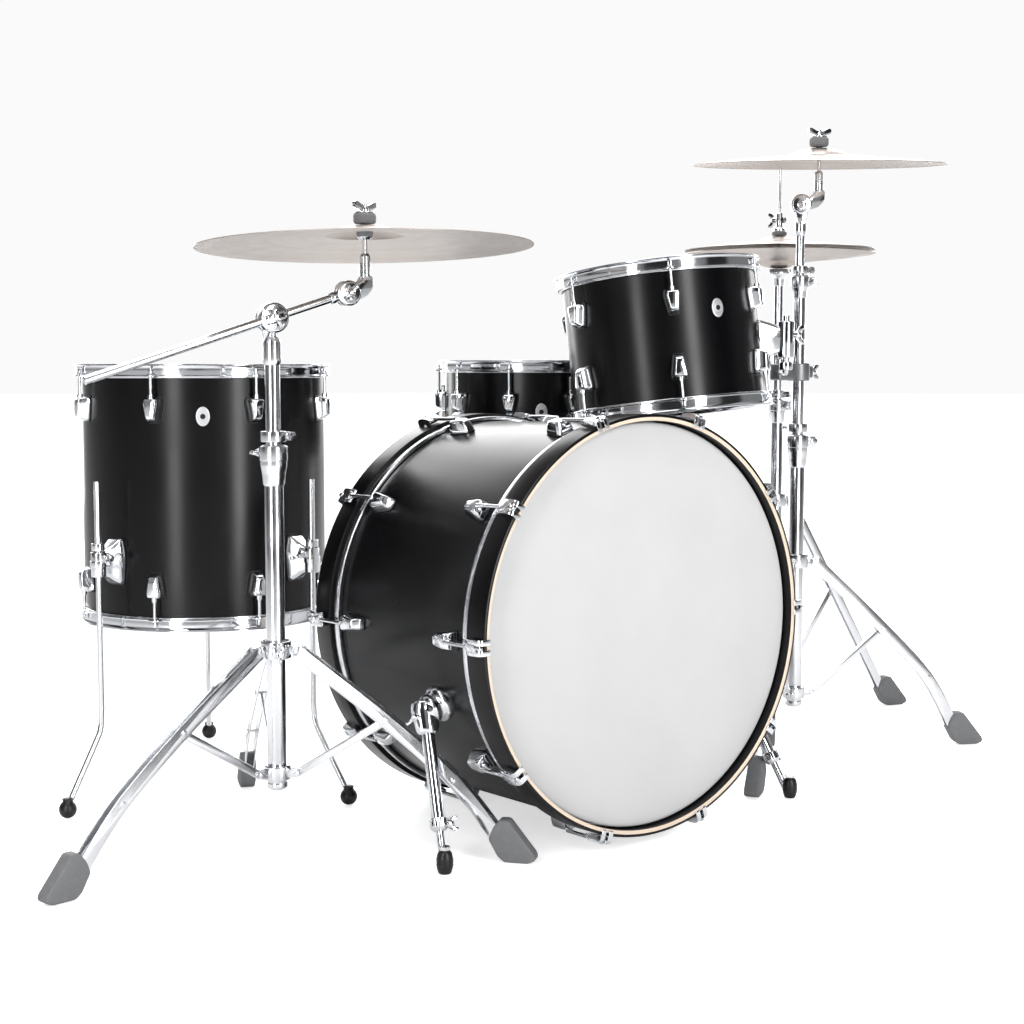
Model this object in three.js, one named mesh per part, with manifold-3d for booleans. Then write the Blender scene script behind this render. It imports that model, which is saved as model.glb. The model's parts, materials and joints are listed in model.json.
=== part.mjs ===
// Acoustic drum kit: bass drum, rack tom, floor tom, snare, hi-hat and two cymbal stands.
// Millimetres, +Z up. The bass drum's axis runs along Y, its front head faces -Y, the player sits at +Y.
import * as THREE from "three";
import { mergeVertices } from "three/addons/utils/BufferGeometryUtils.js";
import Module from "manifold-3d";

const wasm = await Module();
wasm.setup();

// ---- Driving dimensions ----
const kitCentre = { x: 139.7, y: 519.6 }; // middle of the kit on the floor, from the front hoop's foot
const gap = 0.4; // clearance between neighbouring pieces
const drumSides = 24;
const cymbalSides = 22;
const tubeSides = 10;
const rodSides = 6;

const bass = { radius: 304.8, depth: 406, wall: 8, centreHeight: 327.6, rake: -1.3, lugs: 10, phase: 0 };
const floorTom = { x: -340, y: 758, radius: 203.2, depth: 406, bottom: 301, lugs: 8, phase: 264.6 };
const rackTom = { x: 303, y: 300, z: 755, radius: 165.1, depth: 229, lugs: 6, phase: 233.6 };
const rackLean = { x: -0.0407, y: 0.1169 }; // the rack tom's axis leans to the player
const snare = { x: 338, y: 685, radius: 177.8, depth: 165, bottom: 549, lugs: 10, phase: 142.7 };
const crashStand = { x: -454, y: 331, turn: 188, collar: 296, kneeOut: 172, kneeHeight: 198, footOut: 372 };
const sideStand = { x: 612, y: 268, turn: -28.5, collar: 357, kneeOut: 172, kneeHeight: 226, footOut: 347 };
const hiHat = { x: 829, y: 519, turn: 101.1, radius: 190.5, seat: 914, footOut: 287 };
const boom = { height: 785, azimuth: -7.8, tilt: 17.8, tail: 295, head: 124, radius: 6.35 };
const crash = { radius: 254, hub: 925 };
const side = { radius: 228.6, hub: 1109 };
const tubes = { base: 14.3, middle: 11.1, upper: 8 };

// ---- Geometry helpers ----
const rad = THREE.MathUtils.degToRad;
const shifted = (p, direction, k) => new THREE.Vector3(...p).addScaledVector(direction, k).toArray();
const polar = (r, degrees, z = 0) => [r * Math.cos(rad(degrees)), r * Math.sin(rad(degrees)), z];

function toSolid(geometry) {
  const bare = geometry.clone();
  bare.deleteAttribute("normal");
  bare.deleteAttribute("uv");
  const merged = mergeVertices(bare, 1e-4);
  const kept = [];
  const index = merged.index.array;
  for (let i = 0; i < index.length; i += 3) {
    const [a, b, c] = [index[i], index[i + 1], index[i + 2]];
    if (a !== b && b !== c && a !== c) kept.push(a, b, c);
  }
  const vertProperties = merged.attributes.position.array;
  const triVerts = new Uint32Array(kept);
  return new wasm.Manifold(new wasm.Mesh({ numProp: 3, vertProperties, triVerts }));
}

function toGeometry(made) {
  const { numProp, numVert, vertProperties, triVerts } = made.getMesh();
  const positions = new Float32Array(numVert * 3);
  for (let i = 0; i < numVert; i++) {
    positions.set(vertProperties.subarray(i * numProp, i * numProp + 3), i * 3);
  }
  const geometry = new THREE.BufferGeometry();
  geometry.setAttribute("position", new THREE.BufferAttribute(positions, 3));
  geometry.setIndex(new THREE.BufferAttribute(new Uint32Array(triVerts), 1));
  geometry.computeVertexNormals();
  return geometry;
}

// Joins the first list and cuts the second list out of it.
function joined(pieces, cuts = []) {
  let made = toSolid(pieces[0]);
  for (const piece of pieces.slice(1)) made = made.add(toSolid(piece));
  for (const tool of cuts) made = made.subtract(toSolid(tool));
  return toGeometry(made);
}

// A profile of [radius, height] points, listed up the outside, turned round Z.
function turned(profile, sides) {
  const points = profile.map(([r, z]) => new THREE.Vector2(r, z));
  return new THREE.LatheGeometry(points, sides).rotateX(Math.PI / 2);
}

function ring(inner, outer, low, high, sides) {
  return turned([[inner, low], [outer, low], [outer, high], [inner, high], [inner, low]], sides);
}

function disc(radius, low, high, sides) {
  return turned([[0, low], [radius, low], [radius, high], [0, high]], sides);
}

function rod(from, to, radius, sides = rodSides, endRadius = radius) {
  const a = new THREE.Vector3(...from);
  const b = new THREE.Vector3(...to);
  const length = a.distanceTo(b);
  const geometry = new THREE.CylinderGeometry(endRadius, radius, length, sides);
  const way = b.clone().sub(a).normalize();
  geometry.applyQuaternion(new THREE.Quaternion().setFromUnitVectors(new THREE.Vector3(0, 1, 0), way));
  return geometry.translate(...a.add(b).multiplyScalar(0.5).toArray());
}

// A box of radial, tangential and upright size, centred at a radius, angle and height round Z.
function radialBox(size, radius, degrees, height) {
  const box = new THREE.BoxGeometry(...size);
  return box.translate(radius, 0, height).rotateZ(rad(degrees));
}

// A bar of flat strap through points in the X-Z plane.
function strap(points, width, thickness, offset) {
  const left = [];
  const right = [];
  points.forEach(([x, z], i) => {
    const [px, pz] = points[Math.max(0, i - 1)];
    const [nx, nz] = points[Math.min(points.length - 1, i + 1)];
    const along = new THREE.Vector2(nx - px, nz - pz).normalize().multiplyScalar(width / 2);
    left.push([x - along.y, z + along.x]);
    right.unshift([x + along.y, z - along.x]);
  });
  const shape = new THREE.Shape([...left, ...right].map(([x, z]) => new THREE.Vector2(x, z)));
  const geometry = new THREE.ExtrudeGeometry(shape, { depth: thickness, bevelEnabled: false });
  return geometry.translate(0, 0, -thickness / 2).rotateX(Math.PI / 2).translate(0, offset, 0);
}

// A closed tube along a smooth curve.
function bentRod(points, radius, steps) {
  const along = points.map((p) => new THREE.Vector3(...p));
  const curve = new THREE.CatmullRomCurve3(along, false, "centripetal");
  const section = new THREE.Shape();
  for (let i = 0; i < rodSides; i++) {
    const a = (i * 2 * Math.PI) / rodSides;
    const [x, y] = [radius * Math.cos(a), radius * Math.sin(a)];
    if (i) section.lineTo(x, y);
    else section.moveTo(x, y);
  }
  return new THREE.ExtrudeGeometry(section, { steps, extrudePath: curve, bevelEnabled: false });
}

// ---- Materials and placing ----
const finishes = {
  satinBlack: { color: 0x17181b, roughness: 0.5, metalness: 0 },
  chrome: { color: 0xd8dadd, roughness: 0.12, metalness: 1 },
  coatedFilm: { color: 0xe9e9e8, roughness: 0.75, metalness: 0 },
  clearFilm: { color: 0xd9dcde, roughness: 0.3, metalness: 0 },
  bronze: { color: 0xb8aca0, roughness: 0.35, metalness: 1 },
};
const kit = new THREE.Group();
kit.name = "drum_kit";

function unit(x, y, degrees = 0, z = 0) {
  const group = new THREE.Group();
  group.position.set(x - kitCentre.x, y - kitCentre.y, z);
  group.rotation.z = rad(degrees);
  kit.add(group);
  return group;
}

function add(group, name, finish, geometry) {
  const material = new THREE.MeshStandardMaterial({ name: finish, ...finishes[finish] });
  const mesh = new THREE.Mesh(geometry, material);
  mesh.name = name;
  group.add(mesh);
  return mesh;
}

// The pivot and axis of a moving piece, in its group's frame.
function moves(mesh, pivot, axis) {
  mesh.userData.pivot = pivot;
  mesh.userData.axis = axis;
  return mesh;
}

// ---- Drums ----
const lug = { length: 40, width: 18, out: 24, rodOut: 13, inset: 62 };

// A head is a thin film turned down over the shell's edge, with a flesh hoop at the end of its skirt.
const film = 1.6;
const fleshHoop = 6;

function head(radius, edge, up, covered = -film) {
  const skirt = radius + gap;
  const end = -covered - gap;
  const profile = [[0, 0], [skirt, 0], [skirt, end - 10]];
  profile.push([skirt + fleshHoop, end - 10], [skirt + fleshHoop, end]);
  if (covered > 0) profile.push([skirt + film, end], [skirt + film, film]);
  profile.push([0, covered > 0 ? film : end]);
  const placed = profile.map(([r, z]) => [r, edge + up * (z + gap)]);
  return turned(up > 0 ? placed : placed.reverse(), drumSides);
}

function shell(drum, low, bracketPieces = [], cuts = []) {
  const { radius, depth, wall = 7, lugs, phase } = drum;
  const pieces = [ring(radius - wall, radius, low, low + depth, drumSides)];
  const inset = drum.lugInset ?? lug.inset;
  for (let i = 0; i < lugs; i++) {
    const angle = phase + (i * 360) / lugs;
    for (const z of depth > 200 ? [low + inset, low + depth - inset] : [low + depth / 2]) {
      const length = depth > 200 ? lug.length : depth * 0.42;
      pieces.push(radialBox([lug.out + 6, lug.width, length], radius + lug.out / 2 - 3, angle, z));
    }
  }
  return joined([...pieces, ...bracketPieces], cuts);
}

// A pressed steel hoop: an upright wall, a lower flange with the rods through it, and a flared top.
function pressedHoop(drum, edge, up, rodLength) {
  const { radius, lugs, phase } = drum;
  const inner = radius + fleshHoop + 2 * gap;
  const profile = [
    [inner, -9], [inner + 9, -9], [inner + 9, -6], [inner + 2.6, -6],
    [inner + 5.4, 11], [inner, 11], [inner, -9],
  ].map(([r, z]) => [r, edge + up * z]);
  const pieces = [turned(up > 0 ? profile : profile.reverse(), drumSides)];
  const rodAt = radius + lug.rodOut;
  for (let i = 0; i < lugs; i++) {
    const angle = phase + (i * 360) / lugs;
    pieces.push(radialBox([5, 5, rodLength - 7], rodAt, angle, edge - up * (7 + rodLength) * 0.5));
  }
  return joined(pieces);
}

function pressedDrum(group, name, drum, low, shellExtras, cuts) {
  const high = low + drum.depth;
  const rodLength = drum.depth > 200 ? lug.inset - lug.length / 2 - gap : drum.depth * 0.29 - gap;
  add(group, name + "_shell", "satinBlack", shell(drum, low, shellExtras, cuts));
  add(group, name + "_top_head", "coatedFilm", head(drum.radius, high, 1));
  add(group, name + "_bottom_head", "clearFilm", head(drum.radius, low, -1));
  add(group, name + "_top_hoop", "chrome", pressedHoop(drum, high, 1, rodLength));
  add(group, name + "_bottom_hoop", "chrome", pressedHoop(drum, low, -1, rodLength));
}

// Bass drum, built upright with its front at the top, then laid down to face -Y.
const hoop = { width: 42, overhang: 17, outer: 317.5, clawRadius: 326 };
const spur = { angle: 19.5, back: 150, boss: 332, radius: 9.5 };
const spurFeet = { "-1": [-344, 58, 0], 1: [352, 38, 0] };
const frontUnit = unit(0, 0);
const bassUnit = new THREE.Group();
frontUnit.add(bassUnit);
bassUnit.position.z = bass.centreHeight;
bassUnit.rotation.x = rad(bass.rake);
const layDown = (geometry) => geometry.rotateX(Math.PI / 2);
const shellTop = -hoop.overhang;
bass.lugInset = 100 - hoop.overhang;

function woodHoop(edge, up) {
  const inner = bass.radius + film + 2 * gap;
  const face = edge + up * hoop.overhang;
  const inside = face - up * hoop.width;
  const [low, high] = up > 0 ? [inside, face] : [face, inside];
  const profile = [[inner, low], [hoop.outer, low], [hoop.outer, high], [inner, high], [inner, low]];
  const pieces = [turned(profile, drumSides)];
  for (let i = 0; i < bass.lugs; i++) {
    const angle = bass.phase + (i * 360) / bass.lugs;
    const rodEnd = edge - up * (bass.lugInset - lug.length / 2 - gap);
    pieces.push(radialBox([20, 22, 20], hoop.clawRadius - 9, angle, face - up * 6));
    pieces.push(radialBox([6, 6, Math.abs(face - rodEnd)], hoop.clawRadius, angle, (face + rodEnd) / 2));
  }
  return layDown(joined(pieces));
}

const bassLow = shellTop - bass.depth;
const headCover = hoop.width - hoop.overhang + gap;
const spurBosses = [-1, 1].map((sign) => {
  const angle = sign < 0 ? 180 + spur.angle : -spur.angle;
  const height = -spur.back;
  return rod(polar(bass.radius - 3, angle, height), polar(bass.radius + 12, angle, height), 26, 12);
});
add(bassUnit, "bass_drum_shell", "satinBlack", layDown(shell(bass, bassLow, spurBosses)));
add(bassUnit, "bass_drum_front_head", "coatedFilm", layDown(head(bass.radius, shellTop, 1, headCover)));
add(bassUnit, "bass_drum_rear_head", "coatedFilm", layDown(head(bass.radius, bassLow, -1, headCover)));
add(bassUnit, "bass_drum_front_hoop", "satinBlack", woodHoop(shellTop, 1));
add(bassUnit, "bass_drum_rear_hoop", "satinBlack", woodHoop(bassLow, -1));

bassUnit.updateMatrix();
for (const sign of [-1, 1]) {
  const angle = sign < 0 ? 180 + spur.angle : -spur.angle;
  const [x, z] = polar(1, angle);
  const at = (r) => new THREE.Vector3(r * x, spur.back, r * z).applyMatrix4(bassUnit.matrix).toArray();
  const pivot = at(spur.boss);
  const foot = spurFeet[sign];
  const toward = new THREE.Vector3(...foot).sub(new THREE.Vector3(...pivot));
  const along = (t) => new THREE.Vector3(...pivot).addScaledVector(toward, t).toArray();
  const pieces = [
    rod(at(bass.radius + 12 + gap), at(spur.boss + 12), 22, 10),
    rod(along(0), along(0.72), spur.radius, 8),
    rod(along(0.66), along(0.76), 13, 8),
    rod(along(0.7), along(0.93), 5.5, 6),
    rod([foot[0], foot[1], 0.2], [foot[0], foot[1], 34], 12, 8, 10),
  ];
  const name = sign < 0 ? "bass_drum_left_spur" : "bass_drum_right_spur";
  const axis = new THREE.Vector3(x, 0, z).applyQuaternion(bassUnit.quaternion).toArray();
  moves(add(frontUnit, name, "chrome", joined(pieces)), pivot, axis);
}

// Floor tom with three sliding legs in clamp brackets.
const leg = { out: 241, radius: 5, top: 531, clamp: 402, bend: 123, footOut: 315, ball: 14 };
const legAngles = [197.1, 287.1, 62.1];
const floorUnit = unit(floorTom.x, floorTom.y);
const legBrackets = legAngles.flatMap((angle) => [
  radialBox([34, 34, 58], floorTom.radius + 14, angle, leg.clamp),
  radialBox([22, 26, 30], leg.out, angle, leg.clamp - 6),
]);
const legHoles = legAngles.map((angle) => {
  const [low, high] = [leg.clamp - 60, leg.clamp + 60];
  return rod(polar(leg.out, angle, low), polar(leg.out, angle, high), leg.radius + 0.7, 8);
});
pressedDrum(floorUnit, "floor_tom", floorTom, floorTom.bottom, legBrackets, legHoles);
legAngles.forEach((angle, i) => {
  const path = [
    polar(leg.out, angle, leg.top),
    polar(leg.out, angle, leg.bend + 75),
    polar(leg.out, angle, leg.bend + 45),
    polar(leg.out + 2, angle, leg.bend + 8),
    polar(leg.out + 14, angle, leg.bend - 16),
    polar(leg.footOut, angle, leg.ball),
  ];
  const [x, y] = polar(leg.footOut, angle);
  const ball = new THREE.SphereGeometry(leg.ball, 8, 6).rotateX(Math.PI / 2).translate(x, y, leg.ball);
  const pieces = [bentRod(path, leg.radius, 9), ball];
  moves(add(floorUnit, "floor_tom_leg_" + (i + 1), "chrome", joined(pieces)), path[0], [0, 0, 1]);
});

// Rack tom on an arm from a clamp on the right-hand stand.
const armRod = { radius: 5.5, x: 440, y: 142, top: 800, low: 704 };
const tomClamp = { x: 561, y: 268.5, z: 704, radius: 11.6 };
const rackUnit = unit(rackTom.x, rackTom.y, 0, rackTom.z);
const leanTo = new THREE.Vector3(rackLean.x, rackLean.y, 1).normalize();
rackUnit.quaternion.setFromUnitVectors(new THREE.Vector3(0, 0, 1), leanTo);
const leanBack = rackUnit.quaternion.clone().invert();
const inRack = (x, y, z) => {
  const p = new THREE.Vector3(x - rackTom.x, y - rackTom.y, z - rackTom.z);
  return p.applyQuaternion(leanBack).toArray();
};
const bracketAngle = THREE.MathUtils.radToDeg(Math.atan2(armRod.y - rackTom.y, armRod.x - rackTom.x));
const tomBracket = [
  radialBox([50, 40, 64], rackTom.radius + 20, bracketAngle, 6),
  rod(inRack(armRod.x, armRod.y, 792), inRack(armRod.x, armRod.y, 728), 14, 10),
];
const tomHole = rod(inRack(armRod.x, armRod.y, 860), inRack(armRod.x, armRod.y, 690), armRod.radius + 0.8, 10);
pressedDrum(rackUnit, "rack_tom", rackTom, -rackTom.depth / 2, tomBracket, [tomHole]);
rackUnit.children[0].userData.pivot = inRack(armRod.x, armRod.y, armRod.top);
rackUnit.children[0].userData.axis = new THREE.Vector3(0, 0, 1).applyQuaternion(leanBack).toArray();

// ---- Stands ----
// A folding tripod: legs hinge on a sliding collar, braces hinge on a fixed lower collar.
const tripod = { pivotOut: 34, braceOut: 33, lowCollar: 111, strapWidth: 18, strapGap: 14, strapThick: 2.5 };

function tripodFoot(out) {
  const outline = [[-34, 58], [-44, 32], [-26, 4], [-16, 0], [16, 0], [24, 5], [20, 14], [-16, 62]];
  const shape = new THREE.Shape(outline.map(([x, z]) => new THREE.Vector2(out + x, z)));
  const geometry = new THREE.ExtrudeGeometry(shape, { depth: 26, bevelEnabled: false });
  return geometry.translate(0, 0, -13).rotateX(Math.PI / 2);
}

function tripodLeg(stand) {
  const { collar, kneeOut, kneeHeight, footOut } = stand;
  const path = [
    [tripod.pivotOut, collar],
    [kneeOut, kneeHeight],
    [(kneeOut + footOut) / 2 + 2, kneeHeight * 0.58],
    [footOut - 30, 36],
  ];
  const half = tripod.strapGap / 2;
  const pieces = [-half, half].map((y) => strap(path, tripod.strapWidth, tripod.strapThick, y));
  const bridge = new THREE.BoxGeometry(26, tripod.strapGap, 5);
  const slope = Math.atan2(kneeHeight - collar, kneeOut - tripod.pivotOut);
  const [mx, mz] = [0, 1].map((i) => path[0][i] + (path[1][i] - path[0][i]) * 0.42);
  pieces.push(bridge.rotateY(-slope).translate(mx + 3.5, 0, mz + 4.6));
  pieces.push(tripodFoot(footOut));
  return joined(pieces);
}

function tripodBrace(stand) {
  const path = [[tripod.braceOut, tripod.lowCollar], [stand.kneeOut, stand.kneeHeight]];
  return joined([strap(path, 12, 4, 0)]);
}

// A collar with thin lugs that carry a hinge pivot each, at the given sides of the arm's middle.
function collarWithLugs(height, inner, outer, tall, pivotOut, sides) {
  const lugOut = pivotOut + 6;
  const pieces = [ring(inner, outer, height - tall / 2, height + tall / 2, tubeSides)];
  for (const angle of [0, 120, 240]) {
    for (const offset of sides) {
      const lugBox = new THREE.BoxGeometry(lugOut - inner - 1, 3.4, 14);
      lugBox.translate((lugOut + inner + 1) / 2, offset, height);
      pieces.push(lugBox.rotateZ(rad(angle)));
    }
  }
  return pieces;
}

function tube(outer, inner, low, high) {
  return ring(inner, outer, low, high, tubeSides);
}

// A split clamp at the top of a tube, with its wing bolt.
function topClamp(outer, inner, height, boltAngle) {
  const pieces = [ring(inner, outer + 6, height - 12, height + 12, tubeSides)];
  pieces.push(radialBox([16, 18, 20], outer + 12, boltAngle, height));
  pieces.push(radialBox([10, 34, 10], outer + 23, boltAngle, height));
  return pieces;
}

function foldingStand(group, name, stand) {
  const inner = tubes.middle + 0.6;
  const body = [
    tube(tubes.base, inner, 88, stand.tubeTop),
    ...collarWithLugs(tripod.lowCollar, inner, tubes.base + 5, 22, tripod.braceOut, [-4.4, 4.4]),
    ...topClamp(tubes.base, inner, stand.tubeTop - 12, stand.boltAngle),
  ];
  add(group, name + "_base_tube", "chrome", joined(body));
  const slider = collarWithLugs(stand.collar, tubes.base + 0.6, tubes.base + 8, 26, tripod.pivotOut, [0]);
  slider.push(radialBox([14, 34, 10], tubes.base + 14, 60, stand.collar));
  moves(add(group, name + "_leg_collar", "chrome", joined(slider)), [0, 0, stand.collar], [0, 0, 1]);
  [0, 120, 240].forEach((angle, i) => {
    const arm = new THREE.Group();
    arm.rotation.z = rad(angle);
    group.add(arm);
    const legMesh = add(arm, name + "_leg_" + (i + 1), "chrome", tripodLeg(stand));
    moves(legMesh, [tripod.pivotOut, 0, stand.collar], [0, 1, 0]);
    const brace = add(arm, name + "_brace_" + (i + 1), "chrome", tripodBrace(stand));
    moves(brace, [tripod.braceOut, 0, tripod.lowCollar], [0, 1, 0]);
  });
}

// A cymbal: a bell, a bowed body and a thin edge, hanging from its hub height.
function cymbal(radius, rise, bell, hub, up = 1) {
  const thick = 1.6;
  const top = [[7, 0], [bell * 0.6, -4], [bell, -rise * 0.42], [radius, -rise]];
  const under = top.map(([r, z]) => [r, z - thick]);
  const outline = [...under, ...top.reverse()];
  outline.push(outline[0]);
  const placed = outline.map(([r, z]) => [r, hub + up * z]);
  return turned(up > 0 ? placed : placed.reverse(), cymbalSides);
}

// A cymbal tilter: ratchet disc, sloping arm, upright stem, felts and wing nut.
const tilterReach = 33;
const tilterMid = 7.5; // the ratchet's half-width to one side of the boom's own disc

function stemOf(ratchet, way, axis) {
  return shifted(shifted(ratchet, way, tilterReach), axis, tilterMid).slice(0, 2);
}

function tilter(ratchet, stem, hub, axis) {
  return [
    rod(shifted(ratchet, axis, 1), shifted(ratchet, axis, 14), 15, 10),
    rod(shifted(ratchet, axis, tilterMid), [...stem, ratchet[2] + 18], 6, rodSides),
    rod([...stem, ratchet[2] + 6], [...stem, hub - 42], 8, 8),
    rod([...stem, hub - 44], [...stem, hub + 30], 4, rodSides),
    rod([...stem, hub - 26], [...stem, hub - 6.5], 13, 8),
    rod([...stem, hub + 3], [...stem, hub + 19], 17, 10),
    new THREE.BoxGeometry(30, 6, 10).translate(stem[0], stem[1], hub + 25),
  ];
}

// Left-hand stand with its boom and the crash cymbal.
crashStand.tubeTop = 600;
crashStand.boltAngle = 70;
const crashUnit = unit(crashStand.x, crashStand.y, crashStand.turn);
foldingStand(crashUnit, "crash_stand", crashStand);
const boomUnit = unit(crashStand.x, crashStand.y);
const boomWay = new THREE.Vector3(
  Math.cos(rad(boom.tilt)) * Math.cos(rad(boom.azimuth)),
  Math.cos(rad(boom.tilt)) * Math.sin(rad(boom.azimuth)),
  Math.sin(rad(boom.tilt)),
);
const boomHinge = new THREE.Vector3(-Math.sin(rad(boom.azimuth)), Math.cos(rad(boom.azimuth)), 0);
const boomMid = [0, 0, boom.height];
const boomLine = (t) => shifted(shifted(boomMid, boomHinge, -7.5), boomWay, t);
const upperPieces = [
  tube(tubes.middle, tubes.middle - 3, 420, 736),
  disc(tubes.middle + 2, 728, 758, tubeSides),
  rod(shifted([0, 0, 746], boomHinge, 8), shifted([0, 0, 773], boomHinge, 8.5), 5, rodSides),
  rod(shifted(boomMid, boomHinge, 2.5), shifted(boomMid, boomHinge, 14), 22, 14),
];
const upperTube = add(boomUnit, "crash_stand_upper_tube", "chrome", joined(upperPieces));
moves(upperTube, [0, 0, 600], [0, 0, 1]);
const clampPieces = [rod(shifted(boomMid, boomHinge, -17), shifted(boomMid, boomHinge, 2), 22, 14)];
const boomHole = rod(boomLine(-60), boomLine(60), boom.radius + 0.7, 10);
const boomClamp = add(boomUnit, "crash_boom_clamp", "chrome", joined(clampPieces, [boomHole]));
moves(boomClamp, boomMid, boomHinge.toArray());
const boomEnd = boomLine(boom.head);
const neck = boomLine(boom.head - 22);
const boomPieces = [
  rod(boomLine(-boom.tail), boomLine(boom.head - 17), boom.radius, 10),
  rod(shifted(neck, boomHinge, -5.5), shifted(boomLine(boom.head - 8), boomHinge, -6), 5, rodSides),
  rod(shifted(boomEnd, boomHinge, -12), shifted(boomEnd, boomHinge, 0), 15, 12),
];
moves(add(boomUnit, "crash_boom_arm", "chrome", joined(boomPieces)), boomMid, boomWay.toArray());
const boomLevel = new THREE.Vector3(boomWay.x, boomWay.y, 0).normalize();
const crashStem = stemOf(boomEnd, boomLevel, boomHinge);
const crashTilterShape = joined(tilter(boomEnd, crashStem, crash.hub, boomHinge));
const crashTilter = add(boomUnit, "crash_tilter", "chrome", crashTilterShape);
moves(crashTilter, boomEnd, boomHinge.toArray());
const crashDisc = add(boomUnit, "crash_cymbal", "bronze", cymbal(crash.radius, 32, 62, 0));
crashDisc.position.set(...crashStem, crash.hub);
moves(crashDisc, [...crashStem, crash.hub - 4], boomHinge.toArray());

// Right-hand stand with the second cymbal, the arm clamp and the tom arm.
sideStand.tubeTop = 590;
sideStand.boltAngle = -20;
const sideUnit = unit(sideStand.x, sideStand.y, sideStand.turn);
foldingStand(sideUnit, "side_stand", sideStand);
const sideTop = unit(sideStand.x, sideStand.y);
const view = new THREE.Vector3(0.784, -0.621, 0); // the tilter's arm points this way
const across = new THREE.Vector3(0.621, 0.784, 0);
const middleTube = joined([
  tube(tubes.middle, tubes.upper + 0.6, 400, 880),
  ...topClamp(tubes.middle, tubes.upper + 0.6, 868, -38),
]);
moves(add(sideTop, "side_stand_middle_tube", "chrome", middleTube), [0, 0, 600], [0, 0, 1]);
const sideRatchet = [0, 0, 1006];
const upperSide = joined([
  rod([0, 0, 700], [0, 0, 980], tubes.upper, tubeSides),
  rod(shifted([0, 0, 974], across, -3), shifted([0, 0, 996], across, -7), 5, rodSides),
  rod(shifted(sideRatchet, across, -12), shifted(sideRatchet, across, 0), 16, 12),
]);
moves(add(sideTop, "side_stand_upper_tube", "chrome", upperSide), [0, 0, 880], [0, 0, 1]);
const sideStem = stemOf(sideRatchet, view, across);
const sideTilterShape = joined(tilter(sideRatchet, sideStem, side.hub, across));
const sideTilter = add(sideTop, "side_tilter", "chrome", sideTilterShape);
moves(sideTilter, sideRatchet, across.toArray());
const sideDisc = add(sideTop, "side_cymbal", "bronze", cymbal(side.radius, 30, 55, 0));
sideDisc.position.set(...sideStem, side.hub);
const sideTilt = new THREE.Quaternion().setFromAxisAngle(view, rad(4.6));
sideDisc.quaternion.copy(sideTilt);
moves(sideDisc, [...sideStem, side.hub - 4], across.toArray());

const clampAt = [tomClamp.x - sideStand.x, tomClamp.y - sideStand.y];
const clampLength = Math.hypot(...clampAt);
const clampAngle = THREE.MathUtils.radToDeg(Math.atan2(clampAt[1], clampAt[0]));
const clampBody = [
  ring(tomClamp.radius, tomClamp.radius + 9, tomClamp.z - 17, tomClamp.z + 17, tubeSides),
  radialBox([clampLength + 2, 26, 30], clampLength / 2 + 12, clampAngle, tomClamp.z),
  radialBox([26, 12, 22], -26, clampAngle, tomClamp.z),
];
const clampBore = rod([0, 0, tomClamp.z - 40], [0, 0, tomClamp.z + 40], tomClamp.radius, tubeSides);
const armWay = new THREE.Vector3(armRod.x - tomClamp.x, armRod.y - tomClamp.y, 0).normalize();
const armHole = rod(
  shifted([...clampAt, tomClamp.z], armWay, -60),
  shifted([...clampAt, tomClamp.z], armWay, 60),
  armRod.radius + 0.8,
  10,
);
const clampMesh = add(sideTop, "tom_clamp", "chrome", joined(clampBody, [clampBore, armHole]));
moves(clampMesh, [0, 0, tomClamp.z], [0, 0, 1]);
const armLocal = (x, y, z) => [x - sideStand.x, y - sideStand.y, z];
const corner = armLocal(armRod.x, armRod.y, armRod.low);
const armPieces = [
  rod(shifted([...clampAt, tomClamp.z], armWay, -34), shifted(corner, armWay, -16), armRod.radius, 8),
  rod(shifted(corner, armWay, -18), [corner[0], corner[1], corner[2] + 18], armRod.radius, 8),
  rod([corner[0], corner[1], corner[2] + 16], armLocal(armRod.x, armRod.y, armRod.top), armRod.radius, 8),
];
moves(add(sideTop, "tom_arm", "chrome", joined(armPieces)), [...clampAt, tomClamp.z], armWay.toArray());

// ---- Snare drum and its stand ----
const snareUnit = unit(snare.x, snare.y);
const basket = { radius: 184, low: 528, angles: [60, 180, 300], legOut: 225, collar: 250 };
pressedDrum(snareUnit, "snare", snare, snare.bottom, [], []);
const basketPieces = [
  rod([0, 0, 330], [0, 0, basket.low], 9, tubeSides),
  disc(24, basket.low - 34, basket.low - 8, 12),
];
for (const angle of basket.angles) {
  const armEnd = (z) => polar(basket.radius + 22, angle, z);
  basketPieces.push(rod([0, 0, basket.low - 18], armEnd(basket.low - 8), 5, 8));
  basketPieces.push(rod(armEnd(basket.low - 14), armEnd(basket.low + 40), 6, 8));
}
basketPieces.push(radialBox([14, 18, 10], basket.radius + 12, 60, basket.low + 3));
moves(add(snareUnit, "snare_basket", "chrome", joined(basketPieces)), [0, 0, 400], [0, 0, 1]);

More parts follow.
